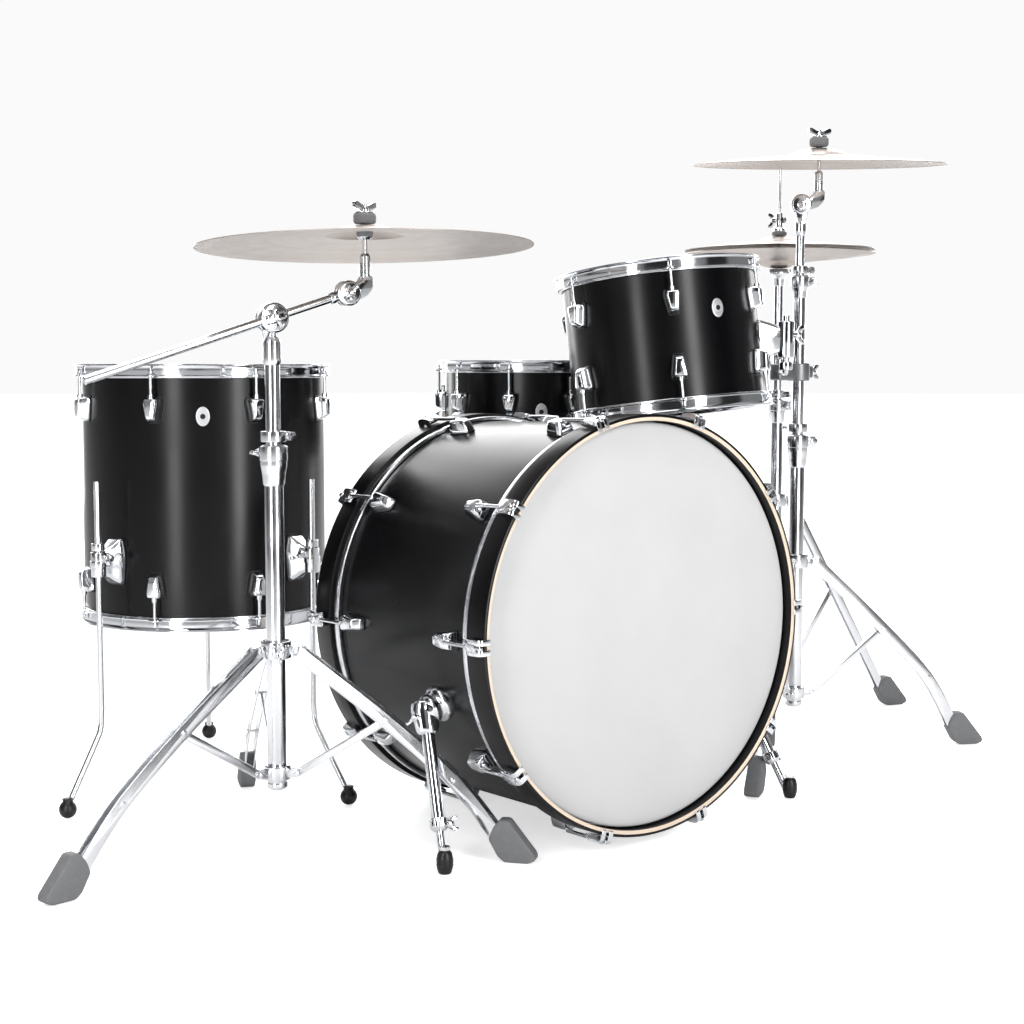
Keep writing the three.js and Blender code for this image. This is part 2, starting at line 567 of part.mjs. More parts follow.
// A plain tripod of straps round a tube, for the two stands that keep their feet spread.
function plainTripod(stand) {
  const pieces = [ring(stand.bore, stand.tubeRadius, stand.tubeLow, stand.tubeTop, tubeSides)];
  pieces.push(ring(stand.bore, stand.tubeRadius + 8, stand.collar - 13, stand.collar + 13, tubeSides));
  pieces.push(ring(stand.bore, stand.tubeRadius + 6, stand.tubeLow + 4, stand.tubeLow + 24, tubeSides));
  pieces.push(...topClamp(stand.tubeRadius, stand.bore, stand.tubeTop - 12, stand.boltAngle));
  for (const angle of stand.angles) {
    const kneeOut = stand.footOut * 0.47;
    const kneeHeight = stand.collar * 0.58;
    const path = [[stand.tubeRadius + 7, stand.collar], [kneeOut, kneeHeight], [stand.footOut - 30, 36]];
    pieces.push(strap(path, tripod.strapWidth, tripod.strapGap, 0).rotateZ(rad(angle)));
    const brace = strap([[stand.tubeRadius + 4, stand.tubeLow + 14], [kneeOut, kneeHeight]], 12, 12, 0);
    pieces.push(brace.rotateZ(rad(angle)), tripodFoot(stand.footOut).rotateZ(rad(angle)));
  }
  return pieces;
}

const snareBase = {
  bore: 9.6, tubeRadius: 12.7, tubeLow: 70, tubeTop: 440, collar: basket.collar,
  boltAngle: 120, angles: basket.angles, footOut: basket.legOut,
};
add(snareUnit, "snare_stand_base", "chrome", joined(plainTripod(snareBase)));

// ---- Hi-hat ----
const hatUnit = unit(hiHat.x, hiHat.y, hiHat.turn);
const hatBase = {
  bore: 10, tubeRadius: 12.7, tubeLow: 62, tubeTop: 648, collar: 443,
  boltAngle: 180, angles: [0, 120, 240], footOut: hiHat.footOut,
};
const pedal = { angle: 40, start: 44, length: 285, width: 76, heel: 24, toe: 52 };
const heelPlate = [
  new THREE.BoxGeometry(36, pedal.width, 20).translate(pedal.length + 22, 0, 10),
  new THREE.BoxGeometry(pedal.length, 8, 4).translate(pedal.length / 2 + 18, 0, 2),
  new THREE.BoxGeometry(8, 8, 72).translate(21, 0, 36),
].map((piece) => piece.rotateZ(rad(pedal.angle)));
add(hatUnit, "hihat_base", "chrome", joined([...plainTripod(hatBase), ...heelPlate]));
const hatTube = joined([
  ring(5, 9.4, 480, hiHat.seat - 18, tubeSides),
  ring(5, 22, hiHat.seat - 18, hiHat.seat - 4, tubeSides),
]);
moves(add(hatUnit, "hihat_upper_tube", "chrome", hatTube), [0, 0, 648], [0, 0, 1]);
const hatRise = 28;
const hatEdge = hiHat.seat + hatRise + 4;
add(hatUnit, "hihat_bottom_cymbal", "bronze", cymbal(hiHat.radius, hatRise, 50, hiHat.seat - 3, -1));
add(hatUnit, "hihat_top_cymbal", "bronze", cymbal(hiHat.radius, hatRise, 50, hatEdge + hatRise + 1.2));
const rodPieces = [
  rod([0, 0, 92], [0, 0, 1120], 3, 8),
  rod([0, 0, hatEdge + hatRise + 2], [0, 0, hatEdge + hatRise + 20], 13, 12),
  rod([0, 0, hatEdge + hatRise + 18], [0, 0, hatEdge + hatRise + 46], 6.5, 8),
  new THREE.BoxGeometry(12, 34, 10).translate(8, 0, hatEdge + hatRise + 32),
];
moves(add(hatUnit, "hihat_pull_rod", "chrome", joined(rodPieces)), [0, 0, 1000], [0, 0, 1]);
const pedalArm = new THREE.Group();
pedalArm.rotation.z = rad(pedal.angle);
hatUnit.add(pedalArm);
const board = strap([[pedal.start, pedal.toe], [pedal.length, pedal.heel]], 8, pedal.width, 0);
moves(add(pedalArm, "hihat_footboard", "chrome", joined([board])), [pedal.length - 4, 0, pedal.heel], [0, 1, 0]);

export default kit;
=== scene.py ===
# Acoustic drum kit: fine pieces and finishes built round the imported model.
import json
import math

import bmesh
import bpy
import numpy as np
from mathutils import Matrix, Vector


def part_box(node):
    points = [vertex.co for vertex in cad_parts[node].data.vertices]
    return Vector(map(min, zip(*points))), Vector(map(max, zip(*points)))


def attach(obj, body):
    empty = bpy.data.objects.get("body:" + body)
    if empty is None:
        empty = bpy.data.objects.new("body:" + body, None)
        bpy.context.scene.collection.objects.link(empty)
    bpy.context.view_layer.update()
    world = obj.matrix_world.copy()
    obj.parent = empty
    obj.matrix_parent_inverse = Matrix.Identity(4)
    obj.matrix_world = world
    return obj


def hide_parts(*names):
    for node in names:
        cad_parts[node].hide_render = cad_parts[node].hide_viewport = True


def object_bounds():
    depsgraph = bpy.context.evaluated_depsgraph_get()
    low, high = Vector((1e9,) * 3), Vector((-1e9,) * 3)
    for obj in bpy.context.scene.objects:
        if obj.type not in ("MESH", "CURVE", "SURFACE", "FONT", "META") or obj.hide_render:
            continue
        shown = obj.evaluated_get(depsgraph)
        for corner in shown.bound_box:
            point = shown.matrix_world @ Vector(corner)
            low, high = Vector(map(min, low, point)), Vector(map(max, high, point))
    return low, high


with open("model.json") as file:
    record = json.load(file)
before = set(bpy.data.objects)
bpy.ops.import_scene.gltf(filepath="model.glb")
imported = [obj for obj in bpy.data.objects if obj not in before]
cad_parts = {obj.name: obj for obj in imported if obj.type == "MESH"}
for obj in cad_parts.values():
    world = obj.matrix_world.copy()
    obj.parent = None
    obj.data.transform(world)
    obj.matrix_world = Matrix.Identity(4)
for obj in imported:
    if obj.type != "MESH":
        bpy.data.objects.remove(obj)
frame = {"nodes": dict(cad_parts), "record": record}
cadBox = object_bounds()
record = frame["record"]
joints = {joint["name"]: joint for joint in record["behaviour"]["joints"]}
mm = 0.001
up = Vector((0, 0, 1))
print("frame loaded:", len(frame["nodes"]), "nodes")


# places taken from the frame, in metres
def middleOf(node):
    low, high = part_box(node)
    return (low + high) / 2


def jointPoint(name):
    return Vector(joints[name]["pos_m"])


def jointAxis(name):
    return Vector(joints[name]["axis"]).normalized()


def lowestPoint(node):
    points = np.array([v.co for v in frame["nodes"][node].data.vertices])
    return Vector(points[points[:, 2] < points[:, 2].min() + mm].mean(0))


def aimed(point, direction, roll=0.0):
    # z along direction, x as near level as it goes
    z = Vector(direction).normalized()
    x = up.cross(z) if abs(z.z) < 0.95 else Vector((1, 0, 0))
    x = (x - z * x.dot(z)).normalized()
    turn = Matrix((x, z.cross(x), z)).transposed().to_4x4()
    return Matrix.Translation(point) @ turn @ Matrix.Rotation(math.radians(roll), 4, "Z")


def framed(point, x, z):
    # x and z along two given directions
    z = Vector(z).normalized()
    x = (Vector(x) - z * Vector(x).dot(z)).normalized()
    return Matrix.Translation(point) @ Matrix((x, z.cross(x), z)).transposed().to_4x4()


def spun(degrees, x=0.0, y=0.0, z=0.0):
    # a place at x, y, z in a frame turned round z, in millimetres
    return Matrix.Rotation(math.radians(degrees), 4, "Z") @ Matrix.Translation((x, y, z))


# shapes: points in millimetres, faces, material index of each face
def merged(*shapes):
    points, faces, slots, start = [], [], [], 0
    for p, f, s in shapes:
        points.append(p)
        faces += [tuple(i + start for i in face) for face in f]
        slots += s
        start += len(p)
    return np.vstack(points), faces, slots


def placed(shape, matrix):
    m = np.array(matrix)
    return shape[0] @ m[:3, :3].T + m[:3, 3], shape[1], shape[2]


def shifted(shape, x=0.0, y=0.0, z=0.0):
    return shape[0] + (x, y, z), shape[1], shape[2]


def tinted(shape, slot):
    return shape[0], shape[1], [slot] * len(shape[1])


def skin(rings, looped=False):
    count, total = len(rings[0]), len(rings)
    faces = []
    for i in range(total if looped else total - 1):
        a, b = i * count, (i + 1) % total * count
        faces += [(a + j, a + (j + 1) % count, b + (j + 1) % count, b + j) for j in range(count)]
    if not looped:
        faces += [tuple(range(count))[::-1], tuple(range((total - 1) * count, total * count))]
    return np.vstack(rings), faces, [0] * len(faces)


def turned(profile, sides=96, looped=False, slots=None, swell=None):
    # a profile of (radius, height) turned round z; one that starts or ends on the axis gets a flat disc there
    if not looped:
        profile = [p for p in profile if p[0] > 1e-6]
    angles = np.linspace(0, 2 * math.pi, sides, endpoint=False)
    rings = []
    for radius, height in profile:
        r = radius + (swell(radius, angles) if swell else 0.0) * np.ones(sides)
        rings.append(np.stack([r * np.cos(angles), r * np.sin(angles), np.full(sides, float(height))], 1))
    points, faces, indices = skin(rings, looped)
    if slots:
        indices = [slots[min(i // sides, len(slots) - 1)] for i in range(len(faces))]
    return points, faces, indices


def rounded(path, radius, steps=4, looped=False):
    # each corner of a polyline eased by a short curve
    pts = [np.array(p, float) for p in path]
    out = []
    for i, corner in enumerate(pts):
        if not looped and i in (0, len(pts) - 1):
            out.append(tuple(corner))
            continue
        before, after = pts[i - 1] - corner, pts[(i + 1) % len(pts)] - corner
        cut = min(radius, np.linalg.norm(before) * 0.45, np.linalg.norm(after) * 0.45)
        start = corner + before / np.linalg.norm(before) * cut
        end = corner + after / np.linalg.norm(after) * cut
        for t in np.linspace(0, 1, steps + 1):
            out.append(tuple(start * (1 - t) ** 2 + 2 * corner * t * (1 - t) + end * t * t))
    return out


def strip(path, width):
    # the outline of a strip that follows a line
    p = np.array(path, float)
    along = np.gradient(p, axis=0)
    along /= np.linalg.norm(along, axis=1)[:, None]
    side = np.stack([-along[:, 1], along[:, 0]], 1) * width / 2
    return [tuple(q) for q in np.vstack([p + side, (p - side)[::-1]])]


def ringOf(inner, outer, low, high, ease=1.0, sides=96, slots=None):
    outline = rounded([(inner, low), (outer, low), (outer, high), (inner, high)], ease, 3, True)
    return turned(outline, sides, True, slots)


def smoothed(path, steps=8):
    # a Catmull-Rom line through the points
    p = [np.array(q, float) for q in [path[0], *path, path[-1]]]
    out = []
    for a, b, c, d in zip(p, p[1:], p[2:], p[3:]):
        for t in np.linspace(0, 1, steps, endpoint=False):
            bend = (2 * a - 5 * b + 4 * c - d) * t**2 + (3 * b - a - 3 * c + d) * t**3
            out.append(0.5 * (2 * b + (c - a) * t + bend))
    return [*out, p[-1]]


def swept(path, radius, sides=20):
    # a round bar along a line; radius is a number or one for each point
    points = [Vector(p) for p in path]
    radii = radius if hasattr(radius, "__len__") else [radius] * len(points)
    ways = []
    for i in range(len(points)):
        ways.append((points[min(i + 1, len(points) - 1)] - points[max(i - 1, 0)]).normalized())
    side = ways[0].orthogonal().normalized()
    angles = np.linspace(0, 2 * math.pi, sides, endpoint=False)
    rings = []
    for i, (point, way, r) in enumerate(zip(points, ways, radii)):
        if i:
            side = ways[i - 1].rotation_difference(way) @ side
        other = way.cross(side)
        rings.append(np.array([point + (side * math.cos(a) + other * math.sin(a)) * r for a in angles]))
    return skin(rings)


def bar(a, b, radius, ease=0.8, sides=20):
    # a straight round bar with eased ends
    a, b = Vector(a), Vector(b)
    step = (b - a).normalized() * ease
    return swept([a, a + step, b - step, b], [radius - ease, radius, radius, radius - ease], sides)


def fromBmesh(bm):
    bm.verts.index_update()
    points = np.array([v.co for v in bm.verts])
    faces = [tuple(v.index for v in f.verts) for f in bm.faces]
    bm.free()
    return points, faces, [0] * len(faces)


def block(x, y, z, ease=1.2, steps=2):
    bm = bmesh.new()
    bmesh.ops.create_cube(bm, size=1)
    bmesh.ops.scale(bm, vec=(x, y, z), verts=bm.verts)
    bmesh.ops.bevel(bm, geom=bm.edges[:], offset=ease, segments=steps, profile=0.5, affect="EDGES")
    return fromBmesh(bm)


def plate(outline, thickness, ease=0.8, steps=2):
    # a flat outline in x and y given a thickness, with eased edges
    bm = bmesh.new()
    face = bm.faces.new([bm.verts.new((x, y, -thickness / 2)) for x, y in outline])
    grown = bmesh.ops.extrude_face_region(bm, geom=[face])["geom"]
    lifted = [g for g in grown if isinstance(g, bmesh.types.BMVert)]
    bmesh.ops.translate(bm, vec=(0, 0, thickness), verts=lifted)
    sharp = [e for e in bm.edges if e.is_manifold and e.calc_face_angle(0) > 0.6]
    ways = {"offset": ease, "segments": steps, "profile": 0.5, "affect": "EDGES", "clamp_overlap": True}
    bmesh.ops.bevel(bm, geom=sharp, **ways)
    return fromBmesh(bm)


# The x-z plane version of a plate, its thickness along y.
onEdge = Matrix.Rotation(math.pi / 2, 4, "X")


def makePiece(name, shape, materials, body, place=None, replaces=(), sharp=38):
    points, faces, slots = shape
    mesh = bpy.data.meshes.new(name)
    mesh.from_pydata((points * mm).tolist(), [], faces)
    for finish in materials:
        mesh.materials.append(finish)
    mesh.polygons.foreach_set("material_index", slots)
    bm = bmesh.new()
    bm.from_mesh(mesh)
    bmesh.ops.recalc_face_normals(bm, faces=bm.faces)
    bm.to_mesh(mesh)
    bm.free()
    mesh.shade_smooth()
    mesh.set_sharp_from_angle(angle=math.radians(sharp))
    piece = bpy.data.objects.new(name, mesh)
    bpy.context.scene.collection.objects.link(piece)
    piece.matrix_world = place or Matrix()
    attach(piece, body)
    if replaces:
        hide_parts(*replaces)
    return piece


# colours are sRGB hex values, turned to linear here
def toLinear(hexColour):
    values = [int(hexColour[i : i + 2], 16) / 255 for i in (1, 3, 5)]
    return [v / 12.92 if v <= 0.04045 else ((v + 0.055) / 1.055) ** 2.4 for v in values] + [1.0]


# links holds sockets to join, hex colours or plain values; gives back the chosen output
def addNode(tree, kind, links=None, out=0, **settings):
    node = tree.nodes.new("ShaderNode" + kind)
    for key, value in settings.items():
        setattr(node, key, value)
    for key, value in (links or {}).items():
        if isinstance(value, bpy.types.NodeSocket):
            tree.links.new(value, node.inputs[key])
        else:
            node.inputs[key].default_value = toLinear(value) if isinstance(value, str) else value
    return node.outputs[out] if node.outputs else node


def newFinish(name):
    finish = bpy.data.materials.new(name)
    finish.use_nodes = True
    tree = finish.node_tree
    tree.nodes.clear()
    return finish, tree, addNode(tree, "TexCoord", None, "Object")


def coated(finish, links):
    tree = finish.node_tree
    shader = addNode(tree, "BsdfPrincipled", links)
    addNode(tree, "OutputMaterial", {"Surface": shader})
    return finish


def perMetre(millimetres):
    return 1000.0 / millimetres


# MapRange sockets: 0 the value, 1 and 2 the range read, 3 and 4 the range given.
# Mix sockets for colour: 0 the factor, 6 and 7 the colours, output 2.
def chromePlate(name, colour="#e4e6e9", rough=(0.045, 0.13), wave=0.05):
    # Polished steel under bright nickel and chrome: a mirror with faint haze where hands have been.
    finish, tree, place = newFinish(name)
    haze = addNode(tree, "TexNoise", {"Vector": place, "Scale": perMetre(55), "Detail": 4.0}, "Fac")
    roughness = addNode(tree, "MapRange", {0: haze, 1: 0.3, 2: 0.7, 3: rough[0], 4: rough[1]})
    marks = addNode(tree, "TexNoise", {"Vector": place, "Scale": perMetre(9), "Detail": 5.0}, "Fac")
    smudge = addNode(tree, "MapRange", {0: marks, 1: 0.5, 2: 0.75, 3: 0.0, 4: 0.35})
    tone = addNode(tree, "Mix", {0: smudge, 6: colour, 7: "#cfd2d6"}, 2, data_type="RGBA")
    waves = addNode(tree, "TexNoise", {"Vector": place, "Scale": perMetre(22), "Detail": 2.0}, "Fac")
    # slow waves left by the buffing wheel
    normal = addNode(tree, "Bump", {"Height": waves, "Distance": wave * mm, "Strength": 0.5})
    return coated(finish, {"Base Color": tone, "Roughness": roughness, "Metallic": 1.0, "Normal": normal})


def satinLacquer(name, colour="#050507", rough=(0.22, 0.28)):
    # Black lacquer rubbed to satin over maple ply: deep black, broad soft reflections, fine orange peel.
    finish, tree, place = newFinish(name)
    cloud = addNode(tree, "TexNoise", {"Vector": place, "Scale": perMetre(140), "Detail": 4.0}, "Fac")
    roughness = addNode(tree, "MapRange", {0: cloud, 1: 0.3, 2: 0.7, 3: rough[0], 4: rough[1]})
    grit = addNode(tree, "TexNoise", {"Vector": place, "Scale": perMetre(2.5), "Detail": 4.0}, "Fac")
    dust = addNode(tree, "MapRange", {0: grit, 1: 0.62, 2: 0.8, 3: 0.0, 4: 0.5})
    tone = addNode(tree, "Mix", {0: dust, 6: colour, 7: "#0f0f12"}, 2, data_type="RGBA")
    peel = addNode(tree, "TexNoise", {"Vector": place, "Scale": perMetre(2.2), "Detail": 2.0}, "Fac")
    # orange peel, drawn coarser than life to show
    normal = addNode(tree, "Bump", {"Height": peel, "Distance": 0.02 * mm, "Strength": 0.35})
    links = {"Base Color": tone, "Roughness": roughness, "Normal": normal, "Specular IOR Level": 0.28}
    return coated(finish, links)


def maple(name, colour="#d9bd98", dark="#b98f60"):
    # Sanded maple: pale, with fine long grain round the hoop and soft cross bands.
    finish, tree, place = newFinish(name)
    along = addNode(tree, "Mapping", {"Vector": place, "Scale": (1.0, 6.0, 1.0)})
    grain = addNode(tree, "TexNoise", {"Vector": along, "Scale": perMetre(3.0), "Detail": 6.0}, "Fac")
    lines = addNode(tree, "MapRange", {0: grain, 1: 0.3, 2: 0.7, 3: 0.0, 4: 1.0})
    tone = addNode(tree, "Mix", {0: lines, 6: colour, 7: dark}, 2, data_type="RGBA")
    roughness = addNode(tree, "MapRange", {0: grain, 1: 0.3, 2: 0.7, 3: 0.42, 4: 0.58})
    normal = addNode(tree, "Bump", {"Height": grain, "Distance": 0.06 * mm, "Strength": 0.4})
    return coated(finish, {"Base Color": tone, "Roughness": roughness, "Normal": normal})


def coatedFilm(name):
    # Polyester film sprayed with white coating: matte, slightly gritty, a little uneven in tone.
    finish, tree, place = newFinish(name)
    cloud = addNode(tree, "TexNoise", {"Vector": place, "Scale": perMetre(120), "Detail": 4.0}, "Fac")
    uneven = addNode(tree, "MapRange", {0: cloud, 1: 0.3, 2: 0.7, 3: 0.0, 4: 1.0})
    white = addNode(tree, "Mix", {0: uneven, 6: "#c6c6c6", 7: "#c1c1c2"}, 2, data_type="RGBA")
    grit = addNode(tree, "TexNoise", {"Vector": place, "Scale": perMetre(1.4), "Detail": 3.0}, "Fac")
    speck = addNode(tree, "MapRange", {0: grit, 1: 0.6, 2: 0.8, 3: 0.0, 4: 0.3})
    tone = addNode(tree, "Mix", {0: speck, 6: white, 7: "#bfbfc0"}, 2, data_type="RGBA")
    roughness = addNode(tree, "MapRange", {0: grit, 1: 0.3, 2: 0.7, 3: 0.52, 4: 0.72})
    normal = addNode(tree, "Bump", {"Height": grit, "Distance": 0.05 * mm, "Strength": 0.5})
    return coated(finish, {"Base Color": tone, "Roughness": roughness, "Normal": normal})


def clearFilm(name):
    # Bare polyester film: clear with a slight haze and faint ripples.
    finish, tree, place = newFinish(name)
    haze = addNode(tree, "TexNoise", {"Vector": place, "Scale": perMetre(40), "Detail": 3.0}, "Fac")
    roughness = addNode(tree, "MapRange", {0: haze, 1: 0.3, 2: 0.7, 3: 0.14, 4: 0.3})
    ripple = addNode(tree, "TexNoise", {"Vector": place, "Scale": perMetre(60), "Detail": 2.0}, "Fac")
    normal = addNode(tree, "Bump", {"Height": ripple, "Distance": 0.2 * mm, "Strength": 0.3})
    links = {"Base Color": "#e9edee", "Roughness": roughness, "Normal": normal, "Transmission Weight": 0.75}
    return coated(finish, links)


def castBronze(name):
    # Cast, hammered and lathed bell bronze: fine circular tool grooves, round hammer dents, dull warm patina.
    finish, tree, place = newFinish(name)
    east = addNode(tree, "SeparateXYZ", {"Vector": place})
    flat = addNode(tree, "CombineXYZ", {"X": east, "Y": east.node.outputs[1]})
    radius = addNode(tree, "VectorMath", {0: flat}, "Value", operation="LENGTH")
    line = addNode(tree, "CombineXYZ", {"X": radius})
    groove = addNode(tree, "TexNoise", {"Vector": line, "Scale": perMetre(1.6), "Detail": 5.0}, "Fac")
    ring = addNode(tree, "TexNoise", {"Vector": line, "Scale": perMetre(26), "Detail": 3.0}, "Fac")
    dents = addNode(tree, "TexVoronoi", {"Vector": place, "Scale": perMetre(17)}, feature="SMOOTH_F1")
    patina = addNode(tree, "TexNoise", {"Vector": place, "Scale": perMetre(60), "Detail": 5.0}, "Fac")
    band = addNode(tree, "MapRange", {0: ring, 1: 0.3, 2: 0.7, 3: 0.0, 4: 0.8})
    warm = addNode(tree, "Mix", {0: band, 6: "#beb7b2", 7: "#a59b93"}, 2, data_type="RGBA")
    dull = addNode(tree, "MapRange", {0: patina, 1: 0.3, 2: 0.7, 3: 0.0, 4: 0.6})
    tone = addNode(tree, "Mix", {0: dull, 6: warm, 7: "#9c9088"}, 2, data_type="RGBA")
    roughness = addNode(tree, "MapRange", {0: groove, 1: 0.3, 2: 0.7, 3: 0.26, 4: 0.42})
    hammered = addNode(tree, "Bump", {"Height": dents, "Distance": 0.9 * mm, "Strength": 0.6})
    lathed = {"Height": groove, "Distance": 0.12 * mm, "Strength": 0.55, "Normal": hammered}
    normal = addNode(tree, "Bump", lathed)
    return coated(finish, {"Base Color": tone, "Roughness": roughness, "Metallic": 1.0, "Normal": normal})


def pressedFelt(name, colour="#6c6c6e"):
    # Pressed wool felt: soft and matte, with short fibres in every direction.
    finish, tree, place = newFinish(name)
    fibre = addNode(tree, "TexNoise", {"Vector": place, "Scale": perMetre(0.9), "Detail": 6.0}, "Fac")
    tuft = addNode(tree, "TexNoise", {"Vector": place, "Scale": perMetre(4.0), "Detail": 3.0}, "Fac")
    lightness = addNode(tree, "MapRange", {0: fibre, 1: 0.3, 2: 0.7, 3: 0.0, 4: 1.0})
    wool = addNode(tree, "Mix", {0: lightness, 6: "#58585a", 7: "#848486"}, 2, data_type="RGBA")
    worn = addNode(tree, "MapRange", {0: tuft, 1: 0.3, 2: 0.7, 3: 0.0, 4: 0.4})
    tone = addNode(tree, "Mix", {0: worn, 6: wool, 7: colour}, 2, data_type="RGBA")
    lumps = addNode(tree, "Bump", {"Height": tuft, "Distance": 0.6 * mm, "Strength": 0.5})
    normal = addNode(tree, "Bump", {"Height": fibre, "Distance": 0.35 * mm, "Strength": 0.9, "Normal": lumps})
    links = {"Base Color": tone, "Roughness": 0.95, "Normal": normal}
    links.update({"Sheen Weight": 0.35, "Sheen Roughness": 0.6})
    return coated(finish, links)


def mouldedRubber(name, colour, rough=(0.6, 0.8), worn="#8c8c8e"):
    # Moulded rubber: even and dull, with a fine cast skin and a little floor dust.
    finish, tree, place = newFinish(name)
    settled = addNode(tree, "TexNoise", {"Vector": place, "Scale": perMetre(12), "Detail": 5.0}, "Fac")
    dust = addNode(tree, "MapRange", {0: settled, 1: 0.5, 2: 0.8, 3: 0.0, 4: 0.3})
    tone = addNode(tree, "Mix", {0: dust, 6: colour, 7: worn}, 2, data_type="RGBA")
    grain = addNode(tree, "TexNoise", {"Vector": place, "Scale": perMetre(0.8), "Detail": 3.0}, "Fac")
    roughness = addNode(tree, "MapRange", {0: grain, 1: 0.3, 2: 0.7, 3: rough[0], 4: rough[1]})
    normal = addNode(tree, "Bump", {"Height": grain, "Distance": 0.08 * mm, "Strength": 0.5})
    return coated(finish, {"Base Color": tone, "Roughness": roughness, "Normal": normal})


def castZinc(name, colour="#8e9092", dark="#77797b"):
    # Die-cast zinc, bead blasted and clear coated: mid grey with a fine even grain.
    finish, tree, place = newFinish(name)
    grain = addNode(tree, "TexNoise", {"Vector": place, "Scale": perMetre(0.7), "Detail": 3.0}, "Fac")
    shade = addNode(tree, "MapRange", {0: grain, 1: 0.3, 2: 0.7, 3: 0.0, 4: 0.5})
    tone = addNode(tree, "Mix", {0: shade, 6: colour, 7: dark}, 2, data_type="RGBA")
    roughness = addNode(tree, "MapRange", {0: grain, 1: 0.3, 2: 0.7, 3: 0.34, 4: 0.5})
    normal = addNode(tree, "Bump", {"Height": grain, "Distance": 0.06 * mm, "Strength": 0.6})
    return coated(finish, {"Base Color": tone, "Roughness": roughness, "Metallic": 0.9, "Normal": normal})


chrome = chromePlate("polishedChrome")
tubeChrome = chromePlate("standTubeChrome", "#e6e7ea", (0.13, 0.24), 0.04)
rodChrome = chromePlate("drawnSteelChromed", "#d9dbde", (0.1, 0.2), 0.03)
rolledSteel = chromePlate("rolledHoopChrome", "#e0e2e5", (0.05, 0.15), 0.12)
lacquer = satinLacquer("satinBlackLacquer")
hoopLacquer = satinLacquer("satinBlackHoopLacquer", "#080709", (0.26, 0.34))
hoopMaple = maple("sandedMapleEdge", "#e6d8c8", "#d6bfa6")
plyMaple = maple("maplePly")
whiteFilm = coatedFilm("sprayCoatedPolyester")
bareFilm = clearFilm("clearPolyester")
bronze = castBronze("lathedBellBronze")
felt = pressedFelt("pressedWoolFelt")
greyRubber = mouldedRubber("greyMouldedRubber", "#6f7072")
blackRubber = mouldedRubber("blackMouldedRubber", "#0d0d0e", (0.3, 0.45), "#1d1d1e")
nylon = mouldedRubber("mouldedNylon", "#58595b", (0.4, 0.55), "#6a6b6d")
zinc = castZinc("beadBlastedZinc")
nickel = castZinc("satinNickelBadge", "#e2e3e4", "#c6c8ca")
print("finishes made")

# stage
stageSettings = {
    "camera": (-1.8384, -2.3261, 0.7161), "heading": (0.6207, 0.7840), "pitch": 5.03, "lens": 58.59,
    "floor": "#f0f0f0", "floorGlow": 0.7, "backdrop": "#fafafa", "worldStrength": 0.44,
    "flags": 5.0, "flagPhase": 0.6, "flagTone": 0.12, "cardTone": 9.5, "cardToward": (0.5, 0.79, 0.36),
    "lights": (
        ("leftFront", (2.35, -1.15, 1.15), (0.42, 2.3), 27),
        ("rightFront", (2.3, 1.45, 1.15), (0.46, 2.3), 43),
        ("overhead", (0.0, -0.1, 3.0), (3.2, 2.2), 68),
        ("rimLeft", (-2.4, -1.9, 1.3), (0.4, 2.2), 18),
        ("rimRight", (-2.4, 2.2, 1.3), (0.4, 2.2), 18),
    ),
}


def areaLight(name, place, target, width, height, power):
    light = bpy.data.lights.new(name, "AREA")
    light.shape, light.size, light.size_y, light.energy = "RECTANGLE", width, height, power
    holder = bpy.data.objects.new(name, light)
    bpy.context.scene.collection.objects.link(holder)
    holder.location = place
    holder.rotation_mode = "QUATERNION"
    holder.rotation_quaternion = (Vector(target) - Vector(place)).to_track_quat("-Z", "Y")


